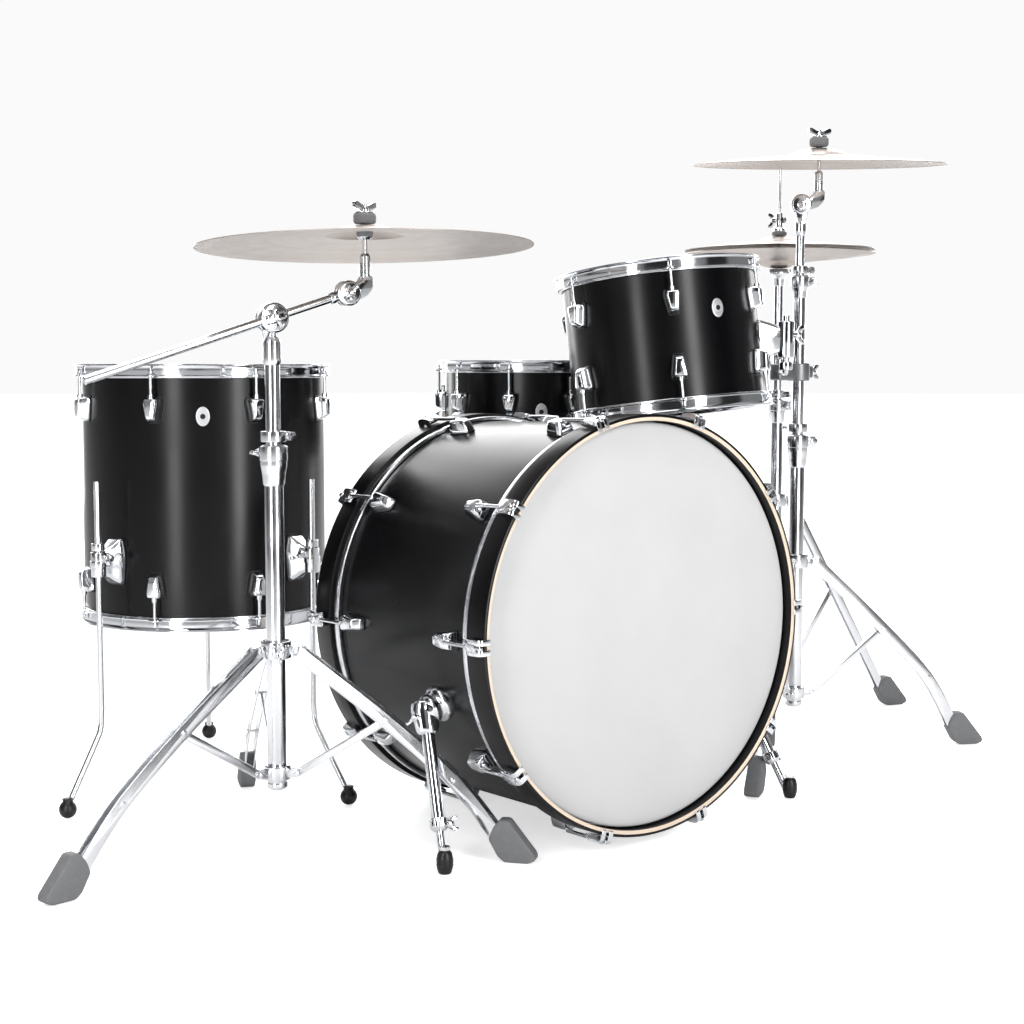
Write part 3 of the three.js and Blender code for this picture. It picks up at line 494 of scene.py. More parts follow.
def makeStage():
    scene = bpy.context.scene
    s = stageSettings
    camera = bpy.data.objects.new("camera", bpy.data.cameras.new("camera"))
    scene.collection.objects.link(camera)
    camera.location = s["camera"]
    camera.rotation_mode = "QUATERNION"
    drop = math.tan(math.radians(s["pitch"]))
    camera.rotation_quaternion = Vector((*s["heading"], -drop)).to_track_quat("-Z", "Y")
    camera.data.lens, camera.data.sensor_width = s["lens"], 36
    camera.data.clip_start, camera.data.clip_end = 0.05, 60
    scene.camera = camera
    scene.view_settings.view_transform = "Standard"

    world = bpy.data.worlds.new("studio")
    world.use_nodes = True
    tree = world.node_tree
    tree.nodes.clear()
    direction = addNode(tree, "TexCoord", None, "Generated")
    east = addNode(tree, "SeparateXYZ", {"Vector": direction})
    north, height = east.node.outputs[1], east.node.outputs[2]
    level = addNode(tree, "MapRange", {0: height, 1: -1.0, 2: 1.0, 3: 0.0, 4: 1.0})
    sky = addNode(tree, "ValToRGB", {"Fac": level})
    ramp = sky.node.color_ramp
    ramp.elements[0].position, ramp.elements[0].color = 0.0, (0.55, 0.55, 0.56, 1)
    ramp.elements[1].position, ramp.elements[1].color = 1.0, (1.0, 1.0, 1.0, 1)
    for position, value in ((0.5, 0.62), (0.56, 0.5), (0.7, 0.55), (0.84, 0.95)):
        ramp.elements.new(position).color = (value, value, value * 1.01, 1)
    # dark upright flags between the lights give the chrome its black lines
    azimuth = addNode(tree, "Math", {0: north, 1: east}, operation="ARCTAN2")
    turns = addNode(tree, "Math", {0: azimuth, 1: s["flags"], 2: s["flagPhase"]}, operation="MULTIPLY_ADD")
    wave = addNode(tree, "Math", {0: turns}, operation="SINE")
    flag = addNode(tree, "MapRange", {0: wave, 1: 0.0, 2: 0.55, 3: 1.0, 4: s["flagTone"]})
    flagged = addNode(tree, "VectorMath", {0: sky, "Scale": flag}, operation="SCALE")
    toBack = addNode(tree, "VectorMath", {0: direction, 1: s["cardToward"]}, "Value", operation="DOT_PRODUCT")
    card = addNode(tree, "MapRange", {0: toBack, 1: 0.72, 2: 0.98, 3: 0.0, 4: s["cardTone"]})
    cardColour = addNode(tree, "CombineXYZ", {0: card, 1: card, 2: card})
    total = addNode(tree, "VectorMath", {0: flagged, 1: cardColour})
    lit = addNode(tree, "Background", {"Color": total, "Strength": s["worldStrength"]})
    seen = addNode(tree, "Background", {"Color": s["backdrop"], "Strength": 1.0})
    straight = addNode(tree, "LightPath", None, "Is Camera Ray")
    both = addNode(tree, "MixShader", {0: straight, 1: lit, 2: seen})
    addNode(tree, "OutputWorld", {"Surface": both})
    scene.world = world

    low, high = cadBox
    middle = (low + high) / 2
    finish, tree, place = newFinish("paleFloorPaint")
    scuffs = addNode(tree, "TexNoise", {"Vector": place, "Scale": perMetre(300), "Detail": 3.0}, "Fac")
    roughness = addNode(tree, "MapRange", {0: scuffs, 1: 0.3, 2: 0.7, 3: 0.5, 4: 0.6})
    # the glow is for the eye only, so that the chrome mirrors a darker floor
    seenFloor = addNode(tree, "LightPath", None, "Is Camera Ray")
    glow = addNode(tree, "Math", {0: seenFloor, 1: s["floorGlow"]}, operation="MULTIPLY")
    links = {"Base Color": s["floor"], "Roughness": roughness, "Emission Color": s["floor"]}
    links["Emission Strength"] = glow
    coated(finish, links)
    ground = (middle.x, middle.y, -0.0005)
    bpy.ops.mesh.primitive_circle_add(vertices=96, radius=40, fill_type="NGON", location=ground)
    floor = bpy.context.object
    floor.name = "floor"
    floor.data.materials.append(finish)

    back = Vector((-s["heading"][0], -s["heading"][1], 0))
    right = Vector((s["heading"][1], -s["heading"][0], 0))
    aim = (middle.x, middle.y, 0.45)
    for name, (along, across, z), (width, height), power in s["lights"]:
        spot = middle + back * along + right * across
        spot.z = z
        areaLight(name, spot, aim, width, height, power)


makeStage()
print("stage set")

# fastenings shared by the drums and stands
def wingBolt(reach=12, wing=17, thick=5):
    # along z from the clamp's face: a boss and two cast wings
    boss = turned(rounded([(0, 0), (6.5, 0), (6.5, reach), (4.2, reach + 5), (0, reach + 6)], 1.2, 3), 24)
    wings = []
    for sign in (-1, 1):
        outline = [(0, reach - 4), (sign * 7, reach - 3), (sign * wing, reach + 3),
                   (sign * (wing + 1), reach + 10)]
        outline += [(sign * (wing - 4), reach + 12), (sign * 6, reach + 6), (0, reach + 5)]
        outline = rounded(outline[::sign], 2.5, 3, True)
        wings.append(placed(plate(outline, thick, 1.2), onEdge))
    return merged(boss, *wings)


def hexNut(radius, low, high):
    return turned(rounded([(0, low), (radius, low), (radius, high), (0, high)], 0.6, 2), 6)


def keyRod(low, high, headUp=1, radius=2.7):
    # a tension rod along z with its washer and square key head at the high end, or at the low one
    top, bottom = (high, low) if headUp > 0 else (low, high)
    shaft = bar((0, 0, bottom), (0, 0, top), radius, 0.4, 14)
    flange = turned(
        [(0, top), (5.2, top), (5.6, top + headUp), (5.2, top + headUp * 2), (0, top + headUp * 2)], 24
    )
    head = shifted(block(5.2, 5.2, 9, 0.7), z=top + headUp * 6)
    return merged(shaft, flange, head)


def splitClamp(outer, low, high, angle, ears=16):
    # a cast band with two ears, a gap between them and a wing bolt through them
    middle = (low + high) / 2
    band = ringOf(outer - 5.5, outer, low, high, 1.6, 48)
    parts = [band]
    for side in (-1, 1):
        parts.append(
            shifted(block(ears, 7, high - low - 3, 2.0, 3), outer + ears / 2 - 3, side * 5.2, middle)
        )
    parts.append(placed(hexNut(7, 0, 6), Matrix.Translation((outer + 7, -8.5, middle)) @ onEdge))
    bolt = Matrix.Translation((outer + 7, 8.5, middle)) @ Matrix.Rotation(-math.pi / 2, 4, "X")
    parts.append(placed(wingBolt(9, 14), bolt))
    return placed(merged(*parts), spun(angle))


def casting(sizes):
    # a cast body along x through rounded rectangles of (x, width, height)
    rings = []
    for x, wide, tall in sizes:
        w, t = wide / 2, tall / 2
        corners = [(-w * 0.8, -t), (w * 0.8, -t), (w, t * 0.3), (w * 0.7, t), (-w * 0.7, t), (-w, t * 0.3)]
        rings.append(np.array([(x, y, z) for y, z in rounded(corners, 7, 5, True)]))
    return skin(rings)


# drums
lugSettings = {"width": 29, "tip": 19, "length": 41, "out": 21, "gasket": 1.2, "rodOut": 13}


def shieldLug(towards, length=None, slot=0):
    # a cast lug on the x axis at r = 0, wide end to +z or -z, on a thin black gasket
    s = lugSettings
    length = length or s["length"]
    w, t, half = s["width"] / 2, s["tip"] / 2, length / 2
    outline = [(-w * 0.9, half), (w * 0.9, half), (w, half * 0.6), (t, -half * 0.8), (t * 0.8, -half)]
    outline += [(-t * 0.8, -half), (-t, -half * 0.8), (-w, half * 0.6)]
    outline = np.array(rounded(outline, 3.5, 4, True))
    outline[:, 1] *= towards
    rings = []
    for out, grow in ((0, 1.0), (4, 1.0), (9, 0.95), (14, 0.87), (18, 0.78), (20.2, 0.7), (s["out"], 0.6)):
        lean = towards * half * 0.34 * (1 - grow)
        rings.append(np.array([(out, x * grow, y * grow + lean) for x, y in outline]))
    body = skin(rings)
    flat = np.array([(0, x * 1.07, y * 1.05) for x, y in outline])
    gasket = skin([flat - (3, 0, 0), flat + (s["gasket"], 0, 0)])
    swivel = turned([(0, -6), (4.4, -6), (4.8, 0), (4.4, 6), (0, 6)], 20)
    swivel = shifted(swivel, s["rodOut"], 0, towards * (half - 2))
    return merged(tinted(body, slot), tinted(gasket, slot + 1), tinted(swivel, slot))


def around(count, phase, shape):
    return merged(*[placed(shape, spun(phase + i * 360 / count)) for i in range(count)])


def shellTube(radius, low, high, wall=7):
    # ply shell, its bearing edges cut at 45 degrees inside; black outside, maple inside
    r, w = radius, radius - wall
    outline = [(r, low + 1.5), (r, high - 1.5), (r - 1.5, high), (r - 2.2, high), (w, high - 5), (w, low + 5)]
    outline += [(r - 2.2, low), (r - 1.5, low)]
    slots = [0, 2, 2, 2, 2, 2, 2, 0]
    return turned(outline, 144, True, slots)


def filmHead(radius, edge, up, skirt=7, fleshOut=5.6, fleshTall=7.5):
    # a film with a rolled collar and its flesh hoop; the film closes into a shallow cup, as a real head does
    rise = 1.1
    path = [(0.01, rise), (radius - 16, rise), (radius - 5, rise + 0.25), (radius - 1.2, rise - 0.2)]
    path += [(radius + 0.9, -1.6), (radius + 1.4, -skirt)]
    path = rounded(path, 3, 4)
    inner = [(max(r - 0.45, 0.01), z - 0.5) for r, z in path][::-1]
    film = turned([(r, edge + up * z) for r, z in path + inner], 144, True)
    flesh = ringOf(radius + 0.6, radius + fleshOut, -skirt - fleshTall + 3, -skirt + 3, 1.8, 144)
    flesh = (flesh[0] * (1, 1, up) + (0, 0, edge), flesh[1], flesh[2])
    return merged(film, tinted(flesh, 1))


def flangedHoop(radius, edge, up, count, phase):
    # pressed steel with three flanges, foot, upright wall and rolled-out lip, and a pierced ear at each rod
    inner = radius + 6.8
    line = [(inner + 5.5, -8.2), (inner + 0.8, -8.0), (inner + 1.3, -1), (inner + 1.3, 6), (inner + 3.2, 9.8)]
    line += [(inner + 6.2, 10.4)]
    outline = rounded(strip(rounded(line, 2.6, 4), 2.3), 0.9, 2, True)
    ring = turned([(r, edge + up * z) for r, z in outline], 192, True)
    ear = [(inner + 0.5, -15), (inner + 7, -11), (inner + 13, -6.5), (inner + 14.2, 0)]
    ear += [(r, -y) for r, y in ear[:-1]][::-1]
    tab = shifted(plate(rounded(ear, 4, 3, True), 2.4, 0.7), z=edge - up * 8)
    return merged(ring, around(count, phase, tab))


def rodsOf(radius, edge, up, count, phase, reach):
    far = edge - up * reach
    low, high = (far, edge - up * 6.6) if up > 0 else (edge - up * 6.6, far)
    one = keyRod(low, high, up)
    washer = turned([(0, 0), (6.4, 0), (6.4, 1.2), (0, 1.2)], 24)
    washer = shifted(washer, z=edge - up * 6.6 - 0.6)
    return around(count, phase, shifted(merged(one, washer), x=radius + lugSettings["rodOut"]))


def badge(radius, angle, height, tall=31, wide=22):
    # a blank oval badge bent to the shell, round its vent grommet; the grommet's hole is a black disc,
    # painted shade of the hole
    ring = []
    for scale, out in ((1.0, -1), (1.0, 1.0), (0.94, 1.5), (0.86, 1.5), (0.84, 1.1), (0.3, 1.1)):
        turnBy = np.linspace(0, 2 * math.pi, 40, endpoint=False)
        spreadBy = np.cos(turnBy) * wide / 2 * scale / radius + math.radians(angle)
        r = radius + out
        heights = height + np.sin(turnBy) * tall / 2 * scale
        ring.append(np.stack([r * np.cos(spreadBy), r * np.sin(spreadBy), heights], 1))
    plateShape = skin(ring)
    grommet = turned(rounded([(4.2, 0), (7, 0), (7, 2.4), (4.2, 2.4)], 0.9, 3, True), 24, True)
    hole = Matrix.Rotation(math.radians(angle), 4, "Z") @ Matrix.Translation((radius + 0.6, 0, height))
    outward = hole @ Matrix.Rotation(math.pi / 2, 4, "Y")
    # no hole is cut: this black disc, in the black rubber finish, fills the grommet as painted shade of the
    # hole's dark inside
    vent = turned([(0, 0), (4.4, 0), (4.4, 1.8), (0, 1.8)], 20)
    return merged(plateShape, placed(grommet, outward), tinted(placed(vent, outward), 1))


def pressedDrum(name, body, s, place):
    # a drum about its own axis, its middle at the origin
    r, half, count, phase = s["radius"], s["depth"] / 2, s["lugs"], s["phase"]
    makePiece(name + "Shell", shellTube(r, -half, half), [lacquer, plyMaple, plyMaple], body, place,
              [nodeName(name, "shell")])
    lugs = []
    if s["depth"] > 200:
        for towards in (-1, 1):
            lugs.append(
                around(count, phase, shifted(shieldLug(towards), r, 0, towards * (half - s["inset"])))
            )
        reach = s["inset"] - lugSettings["length"] / 2 + 6
    else:
        double = merged(*[shifted(shieldLug(t, 34), r, 0, t * 17) for t in (-1, 1)])
        lugs.append(around(count, phase, double))
        reach = half - 30
    makePiece(name + "Lugs", merged(*lugs), [chrome, blackRubber], body, place)
    makePiece(name + "Badge", badge(r, *s["badge"]), [nickel, blackRubber], body, place)
    for end, up in (("Top", 1), ("Bottom", -1)):
        low = end.lower()
        film = whiteFilm if up > 0 else bareFilm
        makePiece(name + end + "Film", filmHead(r, up * half, up), [film, rodChrome], body, place,
                  [nodeName(name, low + "_head")], 50)
        makePiece(name + end + "Hoop", flangedHoop(r, up * half, up, count, phase), [rolledSteel], body,
                  place,
                  [nodeName(name, low + "_hoop")])
        makePiece(name + end + "Rods", rodsOf(r, up * half, up, count, phase, reach), [rodChrome], body,
                  place)


def nodeName(name, part):
    return {"floorTom": "floor_tom", "rackTom": "rack_tom", "snare": "snare"}[name] + "_" + part


def uprightPlace(name):
    head = middleOf(nodeName(name, "top_head"))
    low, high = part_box(nodeName(name, "shell"))
    return Matrix.Translation((head.x, head.y, (low.z + high.z) / 2))


floorTomSettings = {"radius": 203.2, "depth": 406, "lugs": 8, "phase": 264.6, "inset": 62,
                    "badge": (241.5, 131)}
rackTomSettings = {"radius": 165.1, "depth": 229, "lugs": 6, "phase": 233.6, "inset": 62,
                   "badge": (260.6, 38)}
snareSettings = {"radius": 177.8, "depth": 165, "lugs": 10, "phase": 142.7, "inset": 62, "badge": (232.7, 0)}

floorTomPlace = uprightPlace("floorTom")
snarePlace = uprightPlace("snare")
rackTop, rackBottom = middleOf("rack_tom_top_head"), middleOf("rack_tom_bottom_head")
rackAxis = (rackTop - rackBottom).normalized()
rackLean = up.rotation_difference(rackAxis).to_matrix().to_4x4()
rackTomPlace = Matrix.Translation((rackTop + rackBottom) / 2) @ rackLean
pressedDrum("floorTom", "kit", floorTomSettings, floorTomPlace)
pressedDrum("rackTom", "rack_tom", rackTomSettings, rackTomPlace)
pressedDrum("snare", "snare_drum", snareSettings, snarePlace)
print("three drums made")

# bass drum: z along its axis to the front, y up
bassSettings = {
    "radius": 304.8, "depth": 406, "wall": 8, "lugs": 10, "hoopInner": 307.2, "hoopOuter": 317.4,
    "hoopWidth": 42, "overhang": 17, "rodRadius": 326, "lugInset": 83, "mapleTo": 312.6,
}


def bassFrame():
    front, rear = middleOf("bass_drum_front_head"), middleOf("bass_drum_rear_head")
    forward = (front - rear).normalized()
    middle = (front + rear) / 2
    x = Vector((1, 0, 0))
    turn = Matrix((x, forward.cross(x), forward)).transposed().to_4x4()
    return Matrix.Translation(middle) @ turn


def bassClaw():
    # a cast claw over the hoop's edge: a saddle outside and two prongs down the face, which is at z 0
    side = [(-31, 4), (-31, 9), (-22, 12.5), (-10, 13), (-2, 12), (3.6, 8), (4.2, 0), (4, -8), (1.2, -9)]
    side += [(0.6, 0), (0.4, 1.2), (-4, 1.6), (-22, 1.6), (-27, 3)]
    outline = rounded([(r, z) for z, r in side], 2.4, 3, True)
    prongs = []
    for y in (-7.2, 7.2):
        prongs.append(placed(plate(outline, 8.2, 1.4, 3), Matrix.Translation((0, y, 0)) @ onEdge))
    saddle = shifted(block(11, 15, 24, 3.2, 3), 7.5, 0, -17)
    return merged(*prongs, saddle)


def makeBass():
    s = bassSettings
    place = bassFrame()
    r, half, count = s["radius"], s["depth"] / 2, s["lugs"]
    makePiece("bassShell", shellTube(r, -half, half, s["wall"]), [lacquer, plyMaple, plyMaple], "kit", place,
              ["bass_drum_shell"])
    lugs = [around(count, 0, shifted(shieldLug(t), r, 0, t * (half - s["lugInset"]))) for t in (-1, 1)]
    makePiece("bassLugs", merged(*lugs), [chrome, blackRubber], "kit", place)
    for end, up in (("Front", 1), ("Rear", -1)):
        edge, face = up * half, up * (half + s["overhang"])
        low = end.lower()
        makePiece("bass" + end + "Film", filmHead(r - 0.6, edge, up, 28.6, 8.2, 15),
                  [whiteFilm, tubeChrome], "kit", place,
                  ["bass_drum_" + low + "_head"], 50)
        i, o, w = s["hoopInner"], s["hoopOuter"], s["hoopWidth"]
        m = s["mapleTo"]
        cut = [(i, -w), (i, -1.5), (i + 1.5, 0), (m, 0), (o - 2.2, 0), (o - 0.6, -0.8), (o, -2.4),
               (o, -w + 1.2)]
        cut.append((o - 1.2, -w))
        slots = [0, 1, 1, 0, 0, 0, 0, 0, 0]
        wood = turned([(a, face + up * b) for a, b in cut], 192, True, slots)
        makePiece("bass" + end + "Hoop", wood, [hoopLacquer, hoopMaple], "kit", place,
                  ["bass_drum_" + low + "_hoop"])
        claw = bassClaw()
        claw = (claw[0] * (1, 1, up) + (o - 0.5, 0, face), claw[1], claw[2])
        makePiece("bass" + end + "Claws", around(count, 0, claw), [chrome], "kit", place)
        far = up * (half - s["lugInset"] + 16)
        ends = (far, face - up * 6) if up > 0 else (face - up * 6, far)
        rods = around(count, 0, shifted(keyRod(*ends, up, 2.9), x=s["rodRadius"]))
        makePiece("bass" + end + "Rods", rods, [rodChrome], "kit", place)
    makePiece("bassBadge", badge(r, 90, 0), [nickel, blackRubber], "kit", place)


makeBass()

spurSettings = {"boss": 27, "disc": 22, "tube": 9.5, "collar": 13, "inner": 5.5, "tip": 12}


def makeSpur(side):
    s = spurSettings
    body = "bass_" + side + "_spur"
    pivot, axis = jointPoint(side + "_spur_fold"), jointAxis(side + "_spur_fold")
    node = "bass_drum_" + side + "_spur"
    foot = lowestPoint(node)
    foot.z = 0.0002
    way = foot - pivot
    length = way.length / mm
    bossPlace = aimed(pivot, axis)
    base = [(0, -29), (s["boss"] + 1, -29), (s["boss"], -22), (23, -19), (21, -15.5), (0, -15.5)]
    boss = turned(rounded(base, 2, 3), 64)
    makePiece(side + "SpurBoss", boss, [chrome], "kit", bossPlace)
    rim = [(0, -14.6), (s["disc"], -14.6), (s["disc"], -6), (19, -3), (17, 3), (13, 8), (9, 11.5), (0, 12)]
    socket = turned(rounded(rim, 1.8, 3), 64)
    teeth = around(30, 0, shifted(block(2.4, 1.8, 1.6, 0.3), s["disc"] - 1, 0, -14.2))
    makePiece(side + "SpurSocket", merged(socket, teeth), [chrome], body, bossPlace, [node])
    wing = placed(wingBolt(9, 16), Matrix.Translation((0, 0, 10)) @ Matrix.Rotation(0.6, 4, "Z"))
    makePiece(side + "SpurWing", wing, [chrome], body, bossPlace)
    legPlace = aimed(pivot, way)
    tube = turned(
        rounded([(0, -10), (s["tube"], -10), (s["tube"], length * 0.7), (0, length * 0.7)], 1.2, 3), 48
    )
    flatten = Matrix.Diagonal((1.25, 0.95, 1, 1))
    grip = placed(turned(rounded([(0, -16), (15, -16), (17, -2), (14, 26), (10.5, 34), (0, 34)], 5, 4), 40),
                  flatten)
    makePiece(side + "SpurTube", merged(tube, grip), [chrome], body, legPlace)
    a, b = length * 0.665, length * 0.745
    lockRing = turned(rounded([(0, a), (s["collar"], a), (s["collar"], b - 6), (9, b), (0, b)], 1.6, 3), 48,
                      swell=lambda radius, t: 0.35 * np.sign(np.sin(t * 12)) if radius > 12 else 0.0)
    keyPlace = Matrix.Translation((s["collar"] - 2, 0, (a + b) / 2)) @ Matrix.Rotation(math.pi / 2, 4, "Y")
    key = placed(wingBolt(6, 10, 4), keyPlace)
    makePiece(side + "SpurLock", merged(lockRing, key), [chrome], body, legPlace)
    inner = bar((0, 0, length * 0.6), (0, 0, length * 0.95), s["inner"])
    thread = merged(
        *[ringOf(4.6, 6.3, z, z + 1.2, 0.4, 32) for z in np.arange(length * 0.87, length * 0.93, 2.4)]
    )
    makePiece(side + "SpurRod", merged(inner, thread), [rodChrome], body, legPlace)
    tip = [(0, 0), (8.5, 0), (10, 3), (11.6, 9), (11.8, 22), (10.4, 29), (7.8, 33), (0, 34)]
    grooves = merged(*[ringOf(10.4, 12.3, z, z + 1.6, 0.5, 40) for z in (12, 16, 20)])
    tipPlace = Matrix.Translation(foot)
    makePiece(side + "SpurTip", merged(turned(rounded(tip, 1.5, 3), 48), grooves), [blackRubber], body,
              tipPlace, ())
    nut = shifted(hexNut(8.4, 0, 5), z=34)
    makePiece(side + "SpurNut", nut, [chrome], body, tipPlace)


makeSpur("left")
makeSpur("right")
print("bass drum made")

# floor tom legs and their brackets
legSettings = {"out": 241, "radius": 5, "top": 531, "clamp": 402, "bend": 123, "footOut": 315, "ball": 14,
               "angles": (197.1, 287.1, 62.1)}


def makeFloorTomLegs():
    s = legSettings
    centre = Vector((floorTomPlace.translation.x, floorTomPlace.translation.y, 0))
    for i, angle in enumerate(s["angles"], 1):
        place = Matrix.Translation(centre) @ spun(angle)
        sizes = ((202, 43, 76), (206, 43, 76), (211, 40, 70), (218, 32, 59), (225, 26, 50), (233, 20, 43))
        shield = shifted(casting(sizes), z=s["clamp"] - 2)
        pad = shifted(casting(((201, 46, 79), (204, 46, 79))), z=s["clamp"] - 2)
        sleeve = ringOf(s["radius"] + 0.8, 12, s["clamp"] - 24, s["clamp"] + 16, 2, 40)
        sleeve = shifted(sleeve, x=s["out"])
        band = shifted(ringOf(11, 13.4, s["clamp"] - 8, s["clamp"] + 2, 1, 40), x=s["out"])
        bracket = merged(shield, sleeve, band, tinted(pad, 1))
        makePiece("floorTomBracket%d" % i, bracket, [chrome, blackRubber], "kit", place)
        side = -1 if i == 2 else 1
        bolt = Matrix.Translation((s["out"] - 8, side * 10, s["clamp"] + 6))
        bolt = bolt @ Matrix.Rotation(-side * math.pi / 2, 4, "X") @ Matrix.Rotation(0.5, 4, "Z")
        makePiece("floorTomBracketWing%d" % i, placed(wingBolt(9, 15), bolt), [chrome], "kit", place)
        line = [(s["out"], 0, s["top"]), (s["out"], 0, s["bend"] + 75), (s["out"], 0, s["bend"] + 40)]
        line += [(s["out"] + 3, 0, s["bend"] + 8), (s["out"] + 16, 0, s["bend"] - 16),
                 (s["footOut"], 0, s["ball"] + 4)]
        legShape = swept(smoothed(line, 12), s["radius"], 24)
        lock = shifted(ringOf(s["radius"] + 0.8, 10.5, s["clamp"] + 18, s["clamp"] + 30, 1.4, 36), x=s["out"])
        makePiece("floorTomMemoryLock%d" % i, lock, [chrome], "kit", place)
        grips = [ringOf(4.6, 5.35, z, z + 1, 0.3, 28) for z in np.arange(s["clamp"] + 34, s["top"] - 8, 3)]
        legShape = merged(legShape, shifted(merged(*grips), x=s["out"]))
        body = "floor_tom_leg_%d" % i
        makePiece("floorTomLeg%d" % i, legShape, [rodChrome], body, place, [body])
        b = s["ball"]
        cup = [(0, 0.2), (6, 0.8), (11.2, 4.5), (b, 11), (b, 17), (11.4, 23), (7.6, 26.4), (7.2, 33), (0, 33)]
        foot = merged(turned(rounded(cup, 3, 4), 48), ringOf(7, 8.8, 29, 31.5, 0.8, 36))
        makePiece("floorTomFoot%d" % i, shifted(foot, x=s["footOut"]), [blackRubber], body, place, ())


makeFloorTomLegs()

# cymbals: hub at the origin, z out of the bell
cymbalSettings = {"thick": 1.3, "hole": 6.2, "lift": 4}


def cymbalShape(radius, rise, bell):
    t, hole = cymbalSettings["thick"], cymbalSettings["hole"]
    drop = rise * 0.44
    top = [(hole, 0), (bell * 0.2, -0.2), (bell * 0.42, -drop * 0.14), (bell * 0.64, -drop * 0.36)]
    top += [(bell * 0.83, -drop * 0.66), (bell * 0.95, -drop * 0.9), (bell * 1.04, -drop * 1.04)]
    for f in np.linspace(0.12, 1, 14):
        r = bell * 1.04 + (radius - bell * 1.04) * f
        top.append((r, -drop * 1.04 - (rise - drop * 1.04) * (0.72 * f + 0.28 * f * f)))
    top = [tuple(p) for p in smoothed(top, 3)]
    under = [(r, z - t) for r, z in top][::-1]
    under[0] = (radius - 0.5, top[-1][1] - t)
    return turned(top + under, 180, True)


def makeCymbal(name, node, body, place, radius, rise, bell, flip=1):
    shape = cymbalShape(radius, rise, bell)
    if flip < 0:
        shape = (shape[0] * (1, 1, -1), shape[1], shape[2])
    makePiece(name, shape, [bronze], body, place, [node], 50)


# tilters
def feltSwell(radius, t):
    # a little out of round on the outside only
    return 0.35 * np.sin(t * 5) + 0.25 * np.sin(t * 9 + 1) if radius > 9 else 0.0


def makeTilter(name, node, body, ratchet, stem, hub, across):
    # a toothed disc, a finned sloping arm, the stem, felts, washers, a sleeve and a wing nut
    out = Vector((stem.x - ratchet.x, stem.y - ratchet.y, 0))
    place = framed(ratchet, out, up)
    reach = out.length / mm
    local = place.inverted()
    s = local @ stem / mm
    h = (hub.z - ratchet.z) / mm
    discPlace = framed(Vector((0, 0, 0)), (0, 0, 1), local.to_3x3() @ across)
    faceDisc = turned(rounded([(0, 1.2), (19, 1.2), (19, 8), (16.5, 11), (6, 14), (0, 14)], 1.4, 3), 48)
    teeth = around(32, 0, shifted(block(4, 1.5, 1.4, 0.3), 16.6, 0, 1.5))
    bolt = shifted(hexNut(5.5, 0, 4), z=14)
    disc = placed(merged(faceDisc, teeth, bolt), discPlace)
    arm = [(-6, -6), (4, -9), (reach - 2, 0), (reach + 7, 8), (reach + 7, 24), (reach - 7, 26),
           (reach - 9, 16), (2, 9), (-7, 6)]
    web = placed(plate(rounded(arm, 4, 4, True), 8, 1.2, 2), onEdge)
    wide = [(-7, -8), (6, -12), (reach - 4, -5), (reach + 9, 8), (reach + 9, 27), (reach - 6, 28),
            (reach - 10, 18), (0, 11)]
    fin = placed(plate(rounded(wide, 5, 4, True), 2.2, 0.7), onEdge)
    armShape = merged(web, *[shifted(fin, y=y) for y in (-6.6, -2.2, 2.2, 6.6)])
    stemX, stemY = s.x, s.y
    post = [(0, 6), (6.5, 6), (6.5, 22), (8, 24), (8, h - 46), (6, h - 42), (0, h - 42)]
    fins = [ringOf(5, 8.6, z, z + 1.4, 0.4, 40) for z in np.arange(26, h - 48, 3.4)]
    thread = [ringOf(3.2, 4.1, z, z + 0.7, 0.2, 24) for z in np.arange(h + 20, h + 31, 1.5)]
    rod = bar((0, 0, h - 44), (0, 0, h + 31), 3.6, 0.8)
    column = merged(turned(rounded(post, 1.2, 3), 48), rod, *fins, *thread)
    makePiece(name + "Tilter", merged(disc, armShape, shifted(column, stemX, stemY)), [chrome], body, place,
              [node])
    cup = turned(rounded([(0, h - 22), (8, h - 22), (12, h - 17.2), (0, h - 17.2)], 0.8, 3), 48)
    topCup = turned(rounded([(0, h + 18.4), (15, h + 18.4), (15, h + 19.8), (0, h + 19.8)], 0.5, 3), 48)
    makePiece(name + "Washers", shifted(merged(cup, topCup), stemX, stemY), [chrome], body, place)
    lower = [(4, h - 17), (11.6, h - 17), (12.4, h - 14), (12.4, h - 8), (11, h - 3.6), (4, h - 3.6)]
    upper = [(4, h + 2.4), (15, h + 2.2), (17, h + 5), (17, h + 14.5), (15.2, h + 18.2), (4, h + 18.2)]
    felts = merged(*[turned(rounded(p, 1.3, 4, True), 72, True, swell=feltSwell) for p in (lower, upper)])
    makePiece(name + "Felts", shifted(felts, stemX, stemY), [felt], body, place, ())
    sleeve = turned(rounded([(3.7, h - 3.5), (5.4, h - 3.5), (5.4, h + 2), (3.7, h + 2)], 0.3, 2, True), 32,
                    True)
    makePiece(name + "Sleeve", shifted(sleeve, stemX, stemY), [nylon], body, place, ())
    nut = placed(wingBolt(4, 23, 6),
                 Matrix.Translation((stemX, stemY, h + 19.6)) @ Matrix.Rotation(0.15, 4, "Z"))
    makePiece(name + "WingNut", nut, [chrome], body, place)


# folding tripod, z up the tube and x to each foot
tripodSettings = {"pivotOut": 34, "braceOut": 33, "lowCollar": 111, "width": 21, "gap": 14, "thick": 2.4}


def footShape(out):
    side = [(-37, 50), (-44, 33), (-30, 8), (-20, 0.3), (15, 0.3), (26, 5), (25, 13), (-14, 62), (-28, 62)]
    return placed(plate(rounded([(out + x, z) for x, z in side], 3.5, 4, True), 25, 3, 3), onEdge)


def rivet(x, z, width):
    head = turned(rounded([(0, 0), (4.6, 0), (4.2, 1.6), (0, 2.4)], 0.6, 3), 24)
    heads = []
    for side in (1, -1):
        spot = Matrix.Translation((x, side * width / 2, z)) @ Matrix.Rotation(-side * math.pi / 2, 4, "X")
        heads.append(placed(head, spot))
    pin = bar((x, -width / 2, z), (x, width / 2, z), 2.4)
    return merged(*heads, pin)


